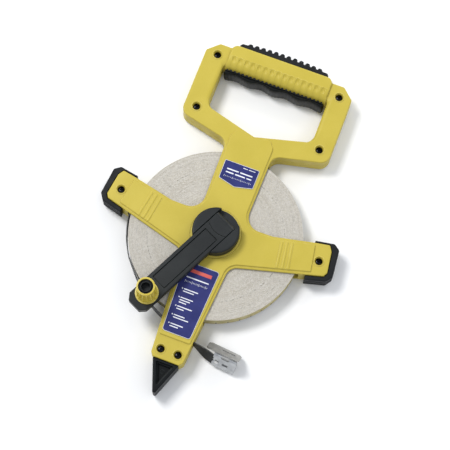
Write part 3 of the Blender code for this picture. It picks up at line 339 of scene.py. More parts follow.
def tape_edges():
    """Edges of the wound tape: rings and short dashes, some turns darker, and a yellow printed face."""
    recipe = Recipe("tape_edge", 0.72)
    parts = recipe.node("ShaderNodeSeparateXYZ")
    recipe.link(recipe.coords, parts.inputs[0])
    x, y, z = parts.outputs
    radius = recipe.math("SQRT", recipe.math("ADD", recipe.math("MULTIPLY", x, x),
                                             recipe.math("MULTIPLY", y, y)))
    ring = recipe.node("ShaderNodeCombineXYZ")
    recipe.link(radius, ring.inputs[0])
    dash = recipe.node("ShaderNodeCombineXYZ")
    recipe.link(radius, dash.inputs[0])
    for part, socket in ((x, 1), (y, 2)):
        recipe.link(recipe.math("MULTIPLY", recipe.math("DIVIDE", part, radius), mm(40)),
                    dash.inputs[socket])
    wide = recipe.spread(recipe.noise(5, 3, source=ring.outputs[0]), 0, 1, 0.38, 0.62)
    fine = recipe.spread(recipe.noise(1.5, 2, source=ring.outputs[0]), 0, 1, 0.48, 0.64)
    dashes = recipe.spread(recipe.noise(1.3, 2, source=dash.outputs[0]), 0, 1, 0.44, 0.62)
    weave = recipe.spread(recipe.noise(1.1, 1), 0, 1, 0.40, 0.62)
    base = recipe.tint(wide, (0.525, 0.487, 0.425), (0.592, 0.560, 0.505))
    base = recipe.tint(recipe.math("MULTIPLY", fine, 0.20), base, (0.38, 0.35, 0.30))
    base = recipe.tint(recipe.math("MULTIPLY", dashes, 0.26), base, (0.34, 0.32, 0.27))
    base = recipe.tint(recipe.math("MULTIPLY", weave, 0.34), base, (0.78, 0.76, 0.70))
    for dark_radius, depth in ((58.2, 0.7), (48.6, 0.2), (66.9, 0.3)):
        off = recipe.math("ABSOLUTE", recipe.math("SUBTRACT", radius, mm(dark_radius)))
        line = recipe.math("MULTIPLY", recipe.spread(off, depth, 0, mm(0.15), mm(0.55)), dashes)
        base = recipe.tint(line, base, (0.17, 0.16, 0.14))
    facing = recipe.node("ShaderNodeSeparateXYZ")
    recipe.link(recipe.node("ShaderNodeTexCoord").outputs["Normal"], facing.inputs[0])
    side = recipe.spread(recipe.math("ABSOLUTE", facing.outputs[2]), 1, 0, 0.3, 0.6)
    face = recipe.tint(recipe.spread(recipe.noise(7, 3), 0, 1), (0.40, 0.33, 0.13), (0.52, 0.46, 0.24))
    along = recipe.node("ShaderNodeAttribute", attribute_name="along").outputs["Fac"]
    marks = recipe.spread(recipe.math("PINGPONG", along, 5.0), 1, 0, 0.35, 0.5)
    across = recipe.spread(z, 1, 0, mm(8.2), mm(8.4))
    face = recipe.tint(recipe.math("MULTIPLY", marks, across), face, (0.03, 0.03, 0.03))
    recipe.feed(recipe.tint(side, base, face), "Base Color")
    recipe.feed(recipe.spread(wide, 0.66, 0.80, 0, 1), "Roughness")
    recipe.bump((weave, 0.04), (fine, 0.06))
    return recipe


def printed_vinyl(name, color, light):
    """Printed sticker: even ink with faint mottling under a clear glossy film."""
    recipe = Recipe(name, 0.38)
    recipe.set("Specular IOR Level", 0.2)
    recipe.feed(recipe.tint(recipe.spread(recipe.noise(11, 3), 0, 1), color, light), "Base Color")
    recipe.feed(recipe.spread(recipe.noise(4, 3), 0.32, 0.46), "Roughness")
    recipe.bump((recipe.noise(1.6, 2), 0.006))
    return recipe


# After the grain depth come the edge colour, part wear and part painted highlight, and the painted shade
# colour for the hollows
YELLOW = moulded("yellow_abs", (0.490, 0.392, 0.050), (0.535, 0.430, 0.063), 0.42, 0.010, (0.80, 0.70, 0.26),
                 (0.20, 0.13, 0.01), 0.25, wear_and_highlight_amount=0.75, painted_shade_amount=0.4).material
KNOB_YELLOW = moulded("knob_yellow", (0.50, 0.385, 0.030), (0.60, 0.47, 0.055), 0.32, 0.010,
                      (0.90, 0.84, 0.38), (0.10, 0.065, 0.004), 0.35, wear_and_highlight_amount=1.0, painted_shade_amount=1.0).material
RUBBER = moulded("black_rubber", (0.006, 0.007, 0.008), (0.011, 0.012, 0.013), 0.58, 0.020,
                 (0.05, 0.05, 0.055), (0.002, 0.002, 0.002), 0.2).material
GRIP_RUBBER = moulded("grip_rubber", (0.003, 0.004, 0.004), (0.007, 0.008, 0.008), 0.36, 0.012,
                      (0.03, 0.035, 0.035), (0.001, 0.001, 0.001), 0.16, painted_shade_amount=0.8).material
GRAPHITE = moulded("black_plastic", (0.014, 0.016, 0.017), (0.023, 0.026, 0.027), 0.44, 0.014,
                   (0.08, 0.09, 0.09), (0.002, 0.002, 0.002), 0.18).material
SPIKE_PLASTIC = moulded("spike_plastic", (0.004, 0.005, 0.006), (0.008, 0.010, 0.011), 0.42, 0.014,
                        (0.05, 0.06, 0.06), (0.002, 0.002, 0.002), 0.10).material
LEADER = moulded("leader_strip", (0.007, 0.008, 0.007), (0.014, 0.015, 0.014), 0.45, 0.015,
                 (0.50, 0.50, 0.48), (0.004, 0.004, 0.004), 0.25, 0.8).material
STEEL = metal("plated_steel", (0.36, 0.37, 0.38), (0.49, 0.50, 0.51), 0.34, (1, 9, 1)).material
CLAW_STEEL = metal("claw_steel", (0.36, 0.355, 0.34), (0.50, 0.495, 0.48), 0.42, (1, 9, 1), 0.03).material
OXIDE = metal("black_steel", (0.010, 0.010, 0.011), (0.022, 0.022, 0.024), 0.24, (6, 1, 1)).material
BRASS = turned_metal("bush_brass", (0.60, 0.45, 0.18), 0.35).material
TURNED_STEEL = turned_metal("turned_steel", (0.66, 0.66, 0.65), 0.28).material
TAPE = tape_edges().material
BLUE = printed_vinyl("blue_label", (0.018, 0.023, 0.125), (0.026, 0.032, 0.160)).material
WHITE = printed_vinyl("label_white", (0.72, 0.74, 0.80), (0.82, 0.83, 0.87)).material
RED = printed_vinyl("label_red", (0.60, 0.09, 0.08), (0.70, 0.14, 0.11)).material


# Outlines


def with_directions(corners):
    """Each corner of an outline, with its radius and the directions of the edges before and after it."""
    for i, (x, y, radius) in enumerate(corners):
        here = Vector((x, y))
        behind = (here - Vector(corners[i - 1][:2])).normalized()
        ahead = (Vector(corners[(i + 1) % len(corners)][:2]) - here).normalized()
        yield here, radius, behind, ahead


def moved_in(corners, inset):
    """The corners (x, y, radius) of an outline moved into its material, which is on its left."""
    moved = []
    for here, radius, behind, ahead in with_directions(corners):
        left_behind = Vector((-behind.y, behind.x))
        left_ahead = Vector((-ahead.y, ahead.x))
        shift = (left_behind + left_ahead) / (1 + left_behind.dot(left_ahead)) * inset
        turns_left = behind.cross(ahead) > 0
        new_radius = max(radius + (-inset if turns_left else inset), 0.12)
        moved.append((*(here + shift), new_radius if radius else 0))
    return moved


def rounded(corners, step=math.radians(7)):
    """The outline's points, with each corner of a radius turned into an arc."""
    points = []
    for here, radius, behind, ahead in with_directions(corners):
        turn = -behind.angle_signed(ahead)
        if not radius or abs(turn) < math.radians(2):
            points.append(here)
            continue
        tangent = radius * math.tan(abs(turn) / 2)
        start = here - behind * tangent
        centre = start + Vector((-behind.y, behind.x)) * math.copysign(radius, turn)
        count = max(2, math.ceil(abs(turn) / step))
        for k in range(count + 1):
            points.append(centre + Matrix.Rotation(turn * k / count, 2) @ (start - centre))
    return points


def rectangle(low, high, radius):
    return [(low[0], low[1], radius), (high[0], low[1], radius), (high[0], high[1], radius),
            (low[0], high[1], radius)]


def both_sides(right):
    """Corners going up the right side, followed by the same corners mirrored down the left side."""
    return right + [(-x, y, radius) for x, y, radius in reversed(right) if abs(x) > 0.01]


def reversed_loop(corners):
    return list(reversed(corners))


def arc(count, start=0.0, end=math.pi / 2):
    return [start + (end - start) * k / count for k in range(count + 1)]


def roll_over(radius, rise, inset=0.0, count=4):
    """Levels (inset, rise) of a wall that rolls over into a face at this rise."""
    return [(inset + radius * (1 - math.cos(a)), rise - radius * (1 - math.sin(a))) for a in arc(count)]


def roll_out(radius, rise, count=3):
    """Levels of a wall that rises out of a face at this rise through a hollow fillet."""
    return [(-radius * (1 - math.sin(a)), rise + radius * (1 - math.cos(a))) for a in arc(count)]


# Solids


def add_slab(bm, loops, levels, step=math.radians(7)):
    """Adds a prism: levels are (inset, z) pairs, and loops the outer outline and then the holes."""
    add_loft(bm, [([moved_in(corners, inset) for corners in loops], z) for inset, z in levels], step)


def add_loft(bm, levels, step=math.radians(7)):
    """Adds a solid that joins outlines, each level with as many loops and corners as the others."""
    rings = []
    for loops, z in levels:
        outlines = [rounded(corners, step) for corners in loops]
        rings.append([[bm.verts.new((p.x, p.y, z)) for p in points] for points in outlines])
    for low, high in zip(rings, rings[1:]):
        for low_loop, high_loop in zip(low, high):
            count = len(low_loop)
            for i in range(count):
                j = (i + 1) % count
                bm.faces.new((low_loop[i], low_loop[j], high_loop[j], high_loop[i]))
    for ring in (rings[0], rings[-1]):
        if len(ring) == 1:
            bm.faces.new(ring[0])
            continue
        corners = [vert for loop in ring for vert in loop]
        for triangle in tessellate_polygon([[vert.co for vert in loop] for loop in ring]):
            bm.faces.new([corners[i] for i in triangle])


def add_turned(bm, profile, centre=(0, 0), segments=96, wave=None):
    """Adds a turned solid: a closed profile of (radius, z), with wave(angle, z) added to its radius."""
    rings = []
    for radius, z in profile:
        if radius == 0:
            rings.append(None)
            continue
        ring = []
        for k in range(segments):
            angle = math.tau * k / segments
            reach = radius + (wave(angle, z, radius) if wave else 0)
            ring.append(bm.verts.new((centre[0] + reach * math.cos(angle),
                                      centre[1] + reach * math.sin(angle), z)))
        rings.append(ring)
    for one, two in zip(rings, rings[1:] + rings[:1]):
        if one and two:
            for k in range(segments):
                n = (k + 1) % segments
                bm.faces.new((one[k], one[n], two[n], two[k]))
        elif one or two:
            bm.faces.new(one or two)


def add_box(bm, low, high):
    size = Vector(high) - Vector(low)
    middle = (Vector(high) + Vector(low)) / 2
    bmesh.ops.create_cube(bm, size=1, matrix=Matrix.Translation(middle) @ Matrix.Diagonal((*size, 1)))


def add_rod(bm, radius, start, end, segments=40):
    start, end = Vector(start), Vector(end)
    turn = (end - start).to_track_quat("Z", "Y").to_matrix().to_4x4()
    bmesh.ops.create_cone(bm, cap_ends=True, segments=segments, radius1=radius, radius2=radius,
                          depth=(end - start).length, matrix=Matrix.Translation((start + end) / 2) @ turn)


def add_ribbon(bm, stations):
    """Adds a bar that joins cross-sections, each a list of as many corners."""
    rings = [[bm.verts.new(corner) for corner in station] for station in stations]
    for one, two in zip(rings, rings[1:]):
        for k in range(len(one)):
            n = (k + 1) % len(one)
            bm.faces.new((one[k], one[n], two[n], two[k]))
    bm.faces.new(rings[0])
    bm.faces.new(rings[-1])


def shape(add, *args, **settings):
    """A new bmesh with the solid that this add_ function makes."""
    bm = bmesh.new()
    add(bm, *args, **settings)
    return bm


def placed_object(name, data):
    obj = bpy.data.objects.new(name, data)
    bpy.context.scene.collection.objects.link(obj)
    return obj


def loose_object(name, bm, place=None):
    """An object from a bmesh in millimetres, at this place, with its faces pointing out."""
    bmesh.ops.recalc_face_normals(bm, faces=bm.faces)
    if place:
        bmesh.ops.transform(bm, matrix=place, verts=bm.verts)
    bmesh.ops.scale(bm, vec=(mm(1),) * 3, verts=bm.verts)
    mesh = bpy.data.meshes.new(name)
    bm.to_mesh(mesh)
    bm.free()
    return placed_object(name, mesh)


def join(obj, add, *args, place=None, **settings):
    combine(obj, shape(add, *args, **settings), "UNION", place)


def cut(obj, add, *args, place=None, **settings):
    combine(obj, shape(add, *args, **settings), "DIFFERENCE", place)


def combine(obj, bm, operation, place=None):
    """Adds a Boolean with the solids of this bmesh."""
    helper = loose_object(f"{obj.name}_{operation.lower()}", bm, place)
    modifier = obj.modifiers.new(operation.title(), "BOOLEAN")
    modifier.operation = operation
    modifier.object = helper
    modifier.solver = "EXACT"


def settle(obj):
    """Applies the object's modifiers, removes their cutters and merges what the cuts left doubled."""
    graph = bpy.context.evaluated_depsgraph_get()
    mesh = bpy.data.meshes.new_from_object(obj.evaluated_get(graph))
    helpers = [m.object for m in obj.modifiers if m.type == "BOOLEAN"]
    obj.modifiers.clear()
    obj.data = mesh
    for helper in helpers:
        bpy.data.objects.remove(helper)
    bm = bmesh.new()
    bm.from_mesh(mesh)
    bmesh.ops.remove_doubles(bm, verts=bm.verts, dist=mm(0.002))
    bmesh.ops.dissolve_degenerate(bm, edges=bm.edges, dist=mm(0.002))
    bm.to_mesh(mesh)
    bm.free()


def bevelled(obj, width):
    """Rounds the object's sharp edges off in two steps."""
    modifier = obj.modifiers.new("Bevel", "BEVEL")
    modifier.width = mm(width)
    modifier.segments = 2
    modifier.limit_method = "ANGLE"
    modifier.angle_limit = math.radians(40)
    modifier.use_clamp_overlap = True
    settle(obj)


def dress(obj, made_of, body, stands_for=(), crease=35):
    """Gives a finished piece its shading, material and body, and hides the CAD nodes it stands for."""
    obj.data.materials.clear()
    obj.data.materials.append(made_of)
    obj.data.shade_smooth()
    obj.data.set_sharp_from_angle(angle=math.radians(crease))
    weighted = obj.modifiers.new("Weighted normals", "WEIGHTED_NORMAL")
    weighted.keep_sharp = True
    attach(obj, body)
    if stands_for:
        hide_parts(*stands_for)
    return obj


def turned_piece(name, profile, made_of, body, stands_for, centre=(0, 0), segments=96, wave=None,
                 place=None):
    bm = bmesh.new()
    add_turned(bm, profile, centre, segments, wave)
    return dress(loose_object(name, bm, place), made_of, body, stands_for)


# Frame shells


def at_rise(side, rise):
    """Height of a point this far from the split plane: side is 1 in front and -1 behind."""
    return SPLIT_Z + side * rise


def at_rises(side, levels):
    return [(inset, at_rise(side, rise)) for inset, rise in levels]


def mirrored_places():
    return [(sign * x, y) for x, y in SCREW_PLACES for sign in (-1, 1)]


def window_right(wider):
    """Corners of the window with its posts this much further apart and its slanted edge in place."""
    middle, low, high = WINDOW_RIGHT
    slope = (low[1] - middle[1]) / low[0]
    return [middle, (low[0] + wider, low[1] + slope * wider, low[2]),
            (high[0] + wider, high[1] + 2.2 * wider, high[2])]


def plain_shell(name, side):
    levels = [(0.25, SEAM), (0, SEAM + 0.25), *roll_over(1.0, RIM_RISE)]
    shell = loose_object(name, shape(add_slab, [both_sides(FRAME_RIGHT)], at_rises(side, levels)))
    levels = [(0.25, 0, SEAM - 1), (0.25, 0, SEAM), (0, 0, SEAM + 0.25)]
    levels += [(0.3 * (1 - math.cos(a)), WINDOW_ROLL * (1 - math.cos(a)),
                RIM_RISE - WINDOW_ROLL * 0.8 * (1 - math.sin(a))) for a in arc(8)]
    levels.append((0.5, WINDOW_ROLL + 0.2, RIM_RISE + 2))
    cut(shell, add_loft, [([moved_in(both_sides(window_right(wider)), -flare)], at_rise(side, rise))
                          for flare, wider, rise in levels])
    loops = [both_sides(FRAME_RIGHT), reversed_loop(both_sides(WINDOW_RIGHT))]
    cut(shell, add_slab, loops, at_rises(side, [(WALL, -1), (WALL, CEILING_RISE)]))
    low, high = at_rise(side, -2), at_rise(side, POCKET_RISE)
    cut(shell, add_turned, [(0, low), (POCKET_R, low), (POCKET_R, high), (0, high)], segments=160)
    levels = [(-0.62, POCKET_RISE + 0.5), *roll_out(0.6, RIM_RISE - 0.01), *roll_over(0.85, PANEL_RISE)]
    join(shell, add_slab, [both_sides(PANEL_RIGHT)], at_rises(side, levels))
    return shell


def bar_profile(front_rise, top, shift=0.0, count=18):
    """The bar's section from its top edge round to the fingers: (y, rise) points, then its inside."""
    low_y = BAR_LOW_Y + shift
    points = [(top, CEILING_RISE + 0.5 + shift)]
    edge = 2.0
    points += [(top - edge + edge * math.cos(a), front_rise - edge + edge * math.sin(a)) for a in arc(6)]
    flat = top - edge - BAR_ROLL_Y
    points += [(BAR_ROLL_Y + flat * part, front_rise) for part in (0.8, 0.5, 0.3)]
    points += [(BAR_ROLL_Y + 1.8 - 0.22 * k, front_rise) for k in range(8)]
    foot = SEAM + 0.02 + shift / 5
    points += [(BAR_ROLL_Y - (BAR_ROLL_Y - low_y) * math.sin(a), foot + (front_rise - foot) * math.cos(a))
               for a in arc(count)]
    inner = [(low_y + WALL + shift, foot), (BAR_ROLL_Y - 1.5 + shift, CEILING_RISE + 0.5 + shift)]
    return points, inner


def flute_depth(x, y):
    """Depth of the flutes at a point of the bar: round scoops that run on down as shallow grooves."""
    if abs(x) > FLUTE_PITCH * (FLUTES // 2) + FLUTE_PITCH / 2:
        return 0
    centre = round(x / FLUTE_PITCH) * FLUTE_PITCH
    below = max(0, FLUTE_TOP_Y - y)
    away = math.hypot(x - centre, max(0, y - FLUTE_TOP_Y))
    scoop = math.sqrt(max(0, 1 - (away / FLUTE_R) ** 2))
    crest = BAR_ROLL_Y + 0.45 + 0.25 * math.cos(math.tau * x / FLUTE_PITCH)
    lip = math.exp(-(((y - crest) / LIP_WIDTH) ** 2))
    return (GROOVE_DEPTH + FLUTE_DEPTH * math.exp(-((below / 2.0) ** 2))) * scoop - LIP_HEIGHT * lip


def add_handle_bar(shell, side, front_rise, fluted):
    points, inner = bar_profile(front_rise, FRAME_HIGH.y - 0.8)
    per_pitch = STEPS_PER_PITCH if fluted else 2
    count = round(2 * BAR_HALF / FLUTE_PITCH * per_pitch)
    bevel = 1.5
    stations = []
    xs = [(-BAR_HALF, bevel), (-BAR_HALF + 0.3, 0.7), (-BAR_HALF + 0.8, 0.2)]
    xs += [(-BAR_HALF + bevel + (2 * BAR_HALF - 2 * bevel) * k / count, 0) for k in range(count + 1)]
    xs += [(BAR_HALF - 0.8, 0.2), (BAR_HALF - 0.3, 0.7), (BAR_HALF, bevel)]
    for x, drop in xs:
        ring = []
        for i, (y, rise) in enumerate(points + inner):
            reach = x * min(1, (BAR_HALF - 4.6 + (FRAME_HIGH.y - y) * 1.1) / BAR_HALF)
            low = rise - drop if rise > RIM_RISE else rise
            if fluted and 0 < i < len(points) - 1:
                before, after = points[i - 1], points[i + 1]
                normal = Vector((before[1] - after[1], after[0] - before[0])).normalized()
                depth = flute_depth(x, y) if abs(x) < BAR_HALF - 2 else 0
                y, low = y + normal.x * depth, low + normal.y * depth
            ring.append((reach, y, at_rise(side, low)))
        stations.append(ring)
    join(shell, add_ribbon, stations)
    points, inner = bar_profile(RIM_RISE - 0.04, BAR_ROLL_Y + 8, 0.3)
    join(shell, add_ribbon, [[(x, y, at_rise(side, rise)) for y, rise in points + inner]
                             for x in (-BAR_ROOT_HALF, BAR_ROOT_HALF)])


def add_ribs(shell):
    """Three low round ribs across each arm."""
    bm = bmesh.new()
    for sign in (-1, 1):
        for (x1, y1), (x2, y2) in RIB_LINES:
            start, end = Vector((sign * x1, y1, 0)), Vector((sign * x2, y2, 0))
            ahead = (end - start).normalized()
            across = ahead.cross(Vector((0, 0, 1)))
            face = at_rise(1, PANEL_RISE)
            section = [across * RIB_HALF * math.cos(a) + Vector((0, 0, face + RIB_RISE * math.sin(a) - 0.02))
                       for a in arc(8, 0, math.pi)]
            section += [across * side + Vector((0, 0, face - 0.5)) for side in (-RIB_HALF, RIB_HALF)]
            stations = []
            for point, shrink in ((start, 0.1), (start + ahead * 0.5, 0.7), (start + ahead * 1.2, 1),
                                  (end - ahead * 1.2, 1), (end - ahead * 0.5, 0.7), (end, 0.1)):
                stations.append([point + Vector((s.x, s.y,
                                                 face - 0.5 + (s.z - face + 0.5) * (0.5 + shrink / 2)))
                                 for s in section])
            add_ribbon(bm, stations)
    combine(shell, bm, "UNION")


def bore_screw_heads(shell):
    bm = bmesh.new()
    rim = at_rise(1, RIM_RISE)
    seat = SCREW_TOP - 2.2
    lips = bmesh.new()
    for x, y in mirrored_places():
        lip = [(SCREW_BORE_R - 0.3, rim - 0.5), (SCREW_LIP_R, rim - 0.5), (SCREW_LIP_R, rim - 0.02),
               (SCREW_LIP_R - 0.3, rim + 0.42), (SCREW_LIP_R - 0.6, rim + 0.5),
               (SCREW_BORE_R - 0.3, rim + 0.5)]
        add_turned(lips, lip, (x, y), 48)
        profile = [(0, SPLIT_Z - 1), (1.8, SPLIT_Z - 1), (1.8, seat), (SCREW_BORE_R, seat),
                   (SCREW_BORE_R, rim - 0.9), (SCREW_BORE_R + 0.8, rim + 0.52),
                   (SCREW_BORE_R + 0.8, rim + 2), (0, rim + 2)]
        add_turned(bm, profile, (x, y), 48)
    combine(shell, lips, "UNION")
    combine(shell, bm, "DIFFERENCE")


def add_bosses(shell, side):
    bm = bmesh.new()
    for x, y in mirrored_places():
        foot = LEG_BOSS_FOOT if y < -100 else SEAM
        low, high = at_rise(side, foot), at_rise(side, CEILING_RISE + 1)
        add_turned(bm, [(0, low), (BOSS_R, low), (BOSS_R, high), (0, high)], (x, y), 32)
    combine(shell, bm, "UNION")


def cut_slots(shell):
    """Room for the bumpers' pegs, the spike's tang and the leader."""
    bm = bmesh.new()
    for sign in (-1, 1):
        near, far = sorted((sign * (PEG_X[0] - FIT), sign * (PEG_X[1] + 1)))
        deep = PEG_HALF + FIT
        add_box(bm, (near, PEG_Y[0] - FIT, SPLIT_Z - deep), (far, PEG_Y[1] + FIT, SPLIT_Z + deep))
    add_box(bm, (-9.3, FRAME_LOW.y - 3, SPLIT_Z - 3.4), (9.3, FRAME_LOW.y + 3.4, SPLIT_Z + 3.4))
    route = [p for p in leader_route() if abs(p.x) < 24 and p.y < -70]
    add_ribbon(bm, strip_sections(route, 3.0, 14.2, [0] * len(route)))
    combine(shell, bm, "DIFFERENCE")


def make_front_shell():
    shell = plain_shell("front_shell", 1)
    add_handle_bar(shell, 1, BAR_FRONT_RISE, True)
    cut_slots(shell)
    hole = bmesh.new()
    face = at_rise(1, PANEL_RISE)
    groove = [(20.75, face + 1), (20.75, face - 0.25), (21.0, face - 0.42), (21.6, face - 0.42),
              (21.95, face - 0.2), (22.2, face + 0.02), (22.2, face + 1)]
    add_turned(hole, groove, segments=144)
    add_turned(hole, [(0, 15), (14, 15), (14, 25), (0, 25)])
    combine(shell, hole, "DIFFERENCE")
    add_ribs(shell)
    add_bosses(shell, 1)
    bore_screw_heads(shell)
    settle(shell)
    dress(shell, YELLOW, "root", ["front_frame"], 28)


def make_back_shell():
    shell = plain_shell("back_shell", -1)
    add_handle_bar(shell, -1, PANEL_RISE, False)
    cut_slots(shell)
    join(shell, add_turned, [(0, 1.5), (7.0, 1.5), (7.0, 14.6), (6.6, 15.0), (0, 15.0)], segments=64)
    add_bosses(shell, -1)
    settle(shell)
    dress(shell, YELLOW, "root", ["back_frame"], 28)


# Leader and tape


def smooth_route(points, steps):
    """A curve through all the points, as Catmull-Rom."""
    around = [2 * points[0] - points[1], *points, 2 * points[-1] - points[-2]]
    route = []
    for a, b, c, d in zip(around, around[1:], around[2:], around[3:]):
        for k in range(steps):
            t = k / steps
            bend = 2 * b + (c - a) * t + (2 * a - 5 * b + 4 * c - d) * t * t
            route.append((bend + (3 * b - a - 3 * c + d) * t * t * t) / 2)
    route.append(points[-1])
    return route


def leader_route():
    """The leader's middle line: round the coil, straight through the leg, and out to the clip."""
    radius = COIL_HIGH.x + 1.1
    chosen = [(radius * math.cos(math.radians(a)), radius * math.sin(math.radians(a)))
              for a in range(172, 217, 4)]
    chosen += [(-44.5, -62.8), (-28.6, -75.3), (-10.0, -84.0), (8.0, -90.5), (20.0, -94.4), (28.0, -97.0),
               (34.7, -98.9), (42.0, -99.5)]
    return smooth_route([Vector((x, y, SPLIT_Z)) for x, y in chosen], 6)


def strip_sections(route, thickness, width, leans, edge=0.0):
    """Cross-sections of a strip on edge, with rounded edges, each leaning by turning about its route."""
    sections = []
    for i, point in enumerate(route):
        ahead = (route[min(i + 1, len(route) - 1)] - route[max(i - 1, 0)]).normalized()
        upright = Matrix.Rotation(leans[i], 3, ahead) @ Vector((0, 0, 1))
        side = ahead.cross(upright).normalized()
        half, reach = thickness / 2, width / 2
        corners = [(-half, -reach + edge), (half, -reach + edge), (half, reach - edge),
                   (-half, reach - edge)]
        if edge:
            corners = [(-half, -reach + edge), (-half * 0.5, -reach), (half * 0.5, -reach),
                       (half, -reach + edge), (half, reach - edge), (half * 0.5, reach),
                       (-half * 0.5, reach), (-half, reach - edge)]
        sections.append([point + side * a + upright * b for a, b in corners])
    return sections


def make_leader():
    route = leader_route()
    leans = []
    for point in route:
        part = min(1, max(0, (point.x - 12) / 18))
        ease = part * part * (3 - 2 * part)
        leans.append(CLIP_LEAN * ease)
        point.z -= 0.9 * ease
    sections = strip_sections(route, LEADER_THICKNESS, TAPE_WIDTH, leans, 0.15)
    band = loose_object("leader_band", shape(add_ribbon, sections))
    dress(band, LEADER, "root", ["tape_leader"])


def make_coil():
    """The wound tape, turn by turn, its edges a little out of line."""
    pitch, thickness, steps = 0.5, 0.41, 100
    inner, outer = 25.6, COIL_HIGH.x - thickness
    turns = (outer - inner) / pitch
    count = int(turns * steps)
    bm = bmesh.new()
    along_layer = bm.verts.layers.float.new("along")
    rings = []
    along = 0.0
    for i in range(count + 1):
        turn = i / steps
        angle = -math.tau * turn
        radius = inner + pitch * turn
        along += math.tau / steps * radius
        jog = 0.13 * noise.noise(Vector((math.floor(turn + 0.5) * 3.7, 0, 0)))
        jog = 0.16 * noise.noise(Vector((radius * 2.3, 0.4 * math.cos(angle), 0.4 * math.sin(angle)))) + jog
        direction = Vector((math.cos(angle), math.sin(angle), 0))
        low, high = COIL_LOW.z + 0.12 + jog * 0.6, COIL_HIGH.z - 0.12 + jog
        corners = [(radius, low), (radius + thickness, low), (radius + thickness, high), (radius, high)]
        ring = []
        for reach, z in corners:
            vert = bm.verts.new(direction * reach + Vector((0, 0, z)))
            vert[along_layer] = along
            ring.append(vert)
        rings.append(ring)
    for one, two in zip(rings, rings[1:]):
        for k in range(4):
            n = (k + 1) % 4
            bm.faces.new((one[k], one[n], two[n], two[k]))
    bm.faces.new(rings[0])
    bm.faces.new(rings[-1])
    dress(loose_object("wound_tape", bm), TAPE, "reel", ["tape_coil"], 50)


# Grips, bumpers, spike and screws


def add_tongue(grip, low_y, high_y):
    """The tongue that holds a grip in the shells' slot."""
    wide, deep = GRIP_TONGUE
    join(grip, add_box, (-wide, low_y, SPLIT_Z - deep), (wide, high_y, SPLIT_Z + deep))
    settle(grip)


def make_palm_grip():
    """The arched strip over the bar: round teeth across it, higher in the middle."""
    high = box_mm("palm_strip")[1]
    base = FRAME_HIGH.y + 0.3
    half = high.x
    count = round(2 * half / FLUTE_PITCH * STEPS_PER_PITCH)
    section = [(-8.0, 0.0), (-8.0, 0.6), (-7.7, 0.88), (-7.2, 1.0), (-3.6, 1.0), (0, 1.0), (3.6, 1.0),
               (7.2, 1.0), (7.7, 0.88), (8.0, 0.6), (8.0, 0.0)]
    stations = []
    for k in range(count + 1):
        x = -half + 2 * half * k / count
        arch = 1 - (x / half) ** 2
        offset = (x / FLUTE_PITCH - 0.5) - round(x / FLUTE_PITCH - 0.5)
        tooth = max(0, 1 - (abs(offset) / 0.36) ** 2.6) if abs(x) < FLUTE_PITCH * PALM_TEETH / 2 else 0
        end = min(1, (half - abs(x)) / 1.5)
        height = (0.35 + 0.65 * end) * (PALM_BODY + PALM_ARCH * arch)
        height += TOOTH_RISE * (0.55 + 0.45 * arch) * math.sqrt(tooth)
        stations.append([(x, base + height * part, SPLIT_Z + z) for z, part in section])
    grip = loose_object("palm_grip", shape(add_ribbon, stations))
    add_tongue(grip, base - 3, base + 0.6)
    dress(grip, RUBBER, "root", ["palm_strip"], 45)


def make_finger_rest():
    """A wavy rubber strip with a row of small teeth along its upper edge and another along its lower."""
    high = box_mm("finger_grip")[1]
    top = BAR_LOW_Y - 0.3
    half = high.x
    count = round(2 * half / FLUTE_PITCH * STEPS_PER_PITCH)
    stations = []
    for k in range(count + 1):
        x = -half + 2 * half * k / count
        end = abs(x) / half
        wave = math.cos(math.tau * FINGER_WAVES * (x + half) / (2 * half))
        drop = FINGER_DROP + FINGER_WAVE * wave * (1 - 0.4 * end) - 1.4 * max(0, (end - 0.95) / 0.05) ** 2
        shrink = 1 - 0.4 * max(0, (end - 0.975) / 0.025) ** 2
        upper = (0.5 + 0.5 * math.cos(math.tau * x / (FLUTE_PITCH * 0.625))) ** 0.8
        upper *= abs(x) < half - 2
        lower = 0.5 + 0.5 * math.cos(math.tau * x / (FLUTE_PITCH * 0.5))
        section = [(0.0, 0.0), (0.0, 5.0), (0.1 - 0.9 * upper, 7.0), (0.2 - 1.5 * upper, 7.8),
                   (0.3 - 1.3 * upper, 8.2), (0.18 * drop, 8.1), (0.25 * drop, 7.6), (0.30 * drop, 7.2),
                   (0.36 * drop, 7.5), (0.45 * drop, 7.9), (0.60 * drop, 7.95), (0.70 * drop, 7.4),
                   (0.74 * drop, 7.1 + 0.2 * lower), (0.82 * drop, 7.1 + 0.4 * lower),
                   (0.90 * drop, 6.5 + 0.4 * lower), (0.95 * drop + 0.25 * lower, 4.8),
                   (0.98 * drop + 0.25 * lower, 2.6), (drop, 0.0)]
        ring = [(y, z * shrink) for y, z in section]
        ring += [(y, -z) for y, z in reversed(ring[1:-1])]
        stations.append([(x, top - y, SPLIT_Z + z) for y, z in ring])
    grip = loose_object("finger_rest", shape(add_ribbon, stations))
    add_tongue(grip, top - 0.6, top + 3)
    dress(grip, GRIP_RUBBER, "root", ["finger_grip"], 50)


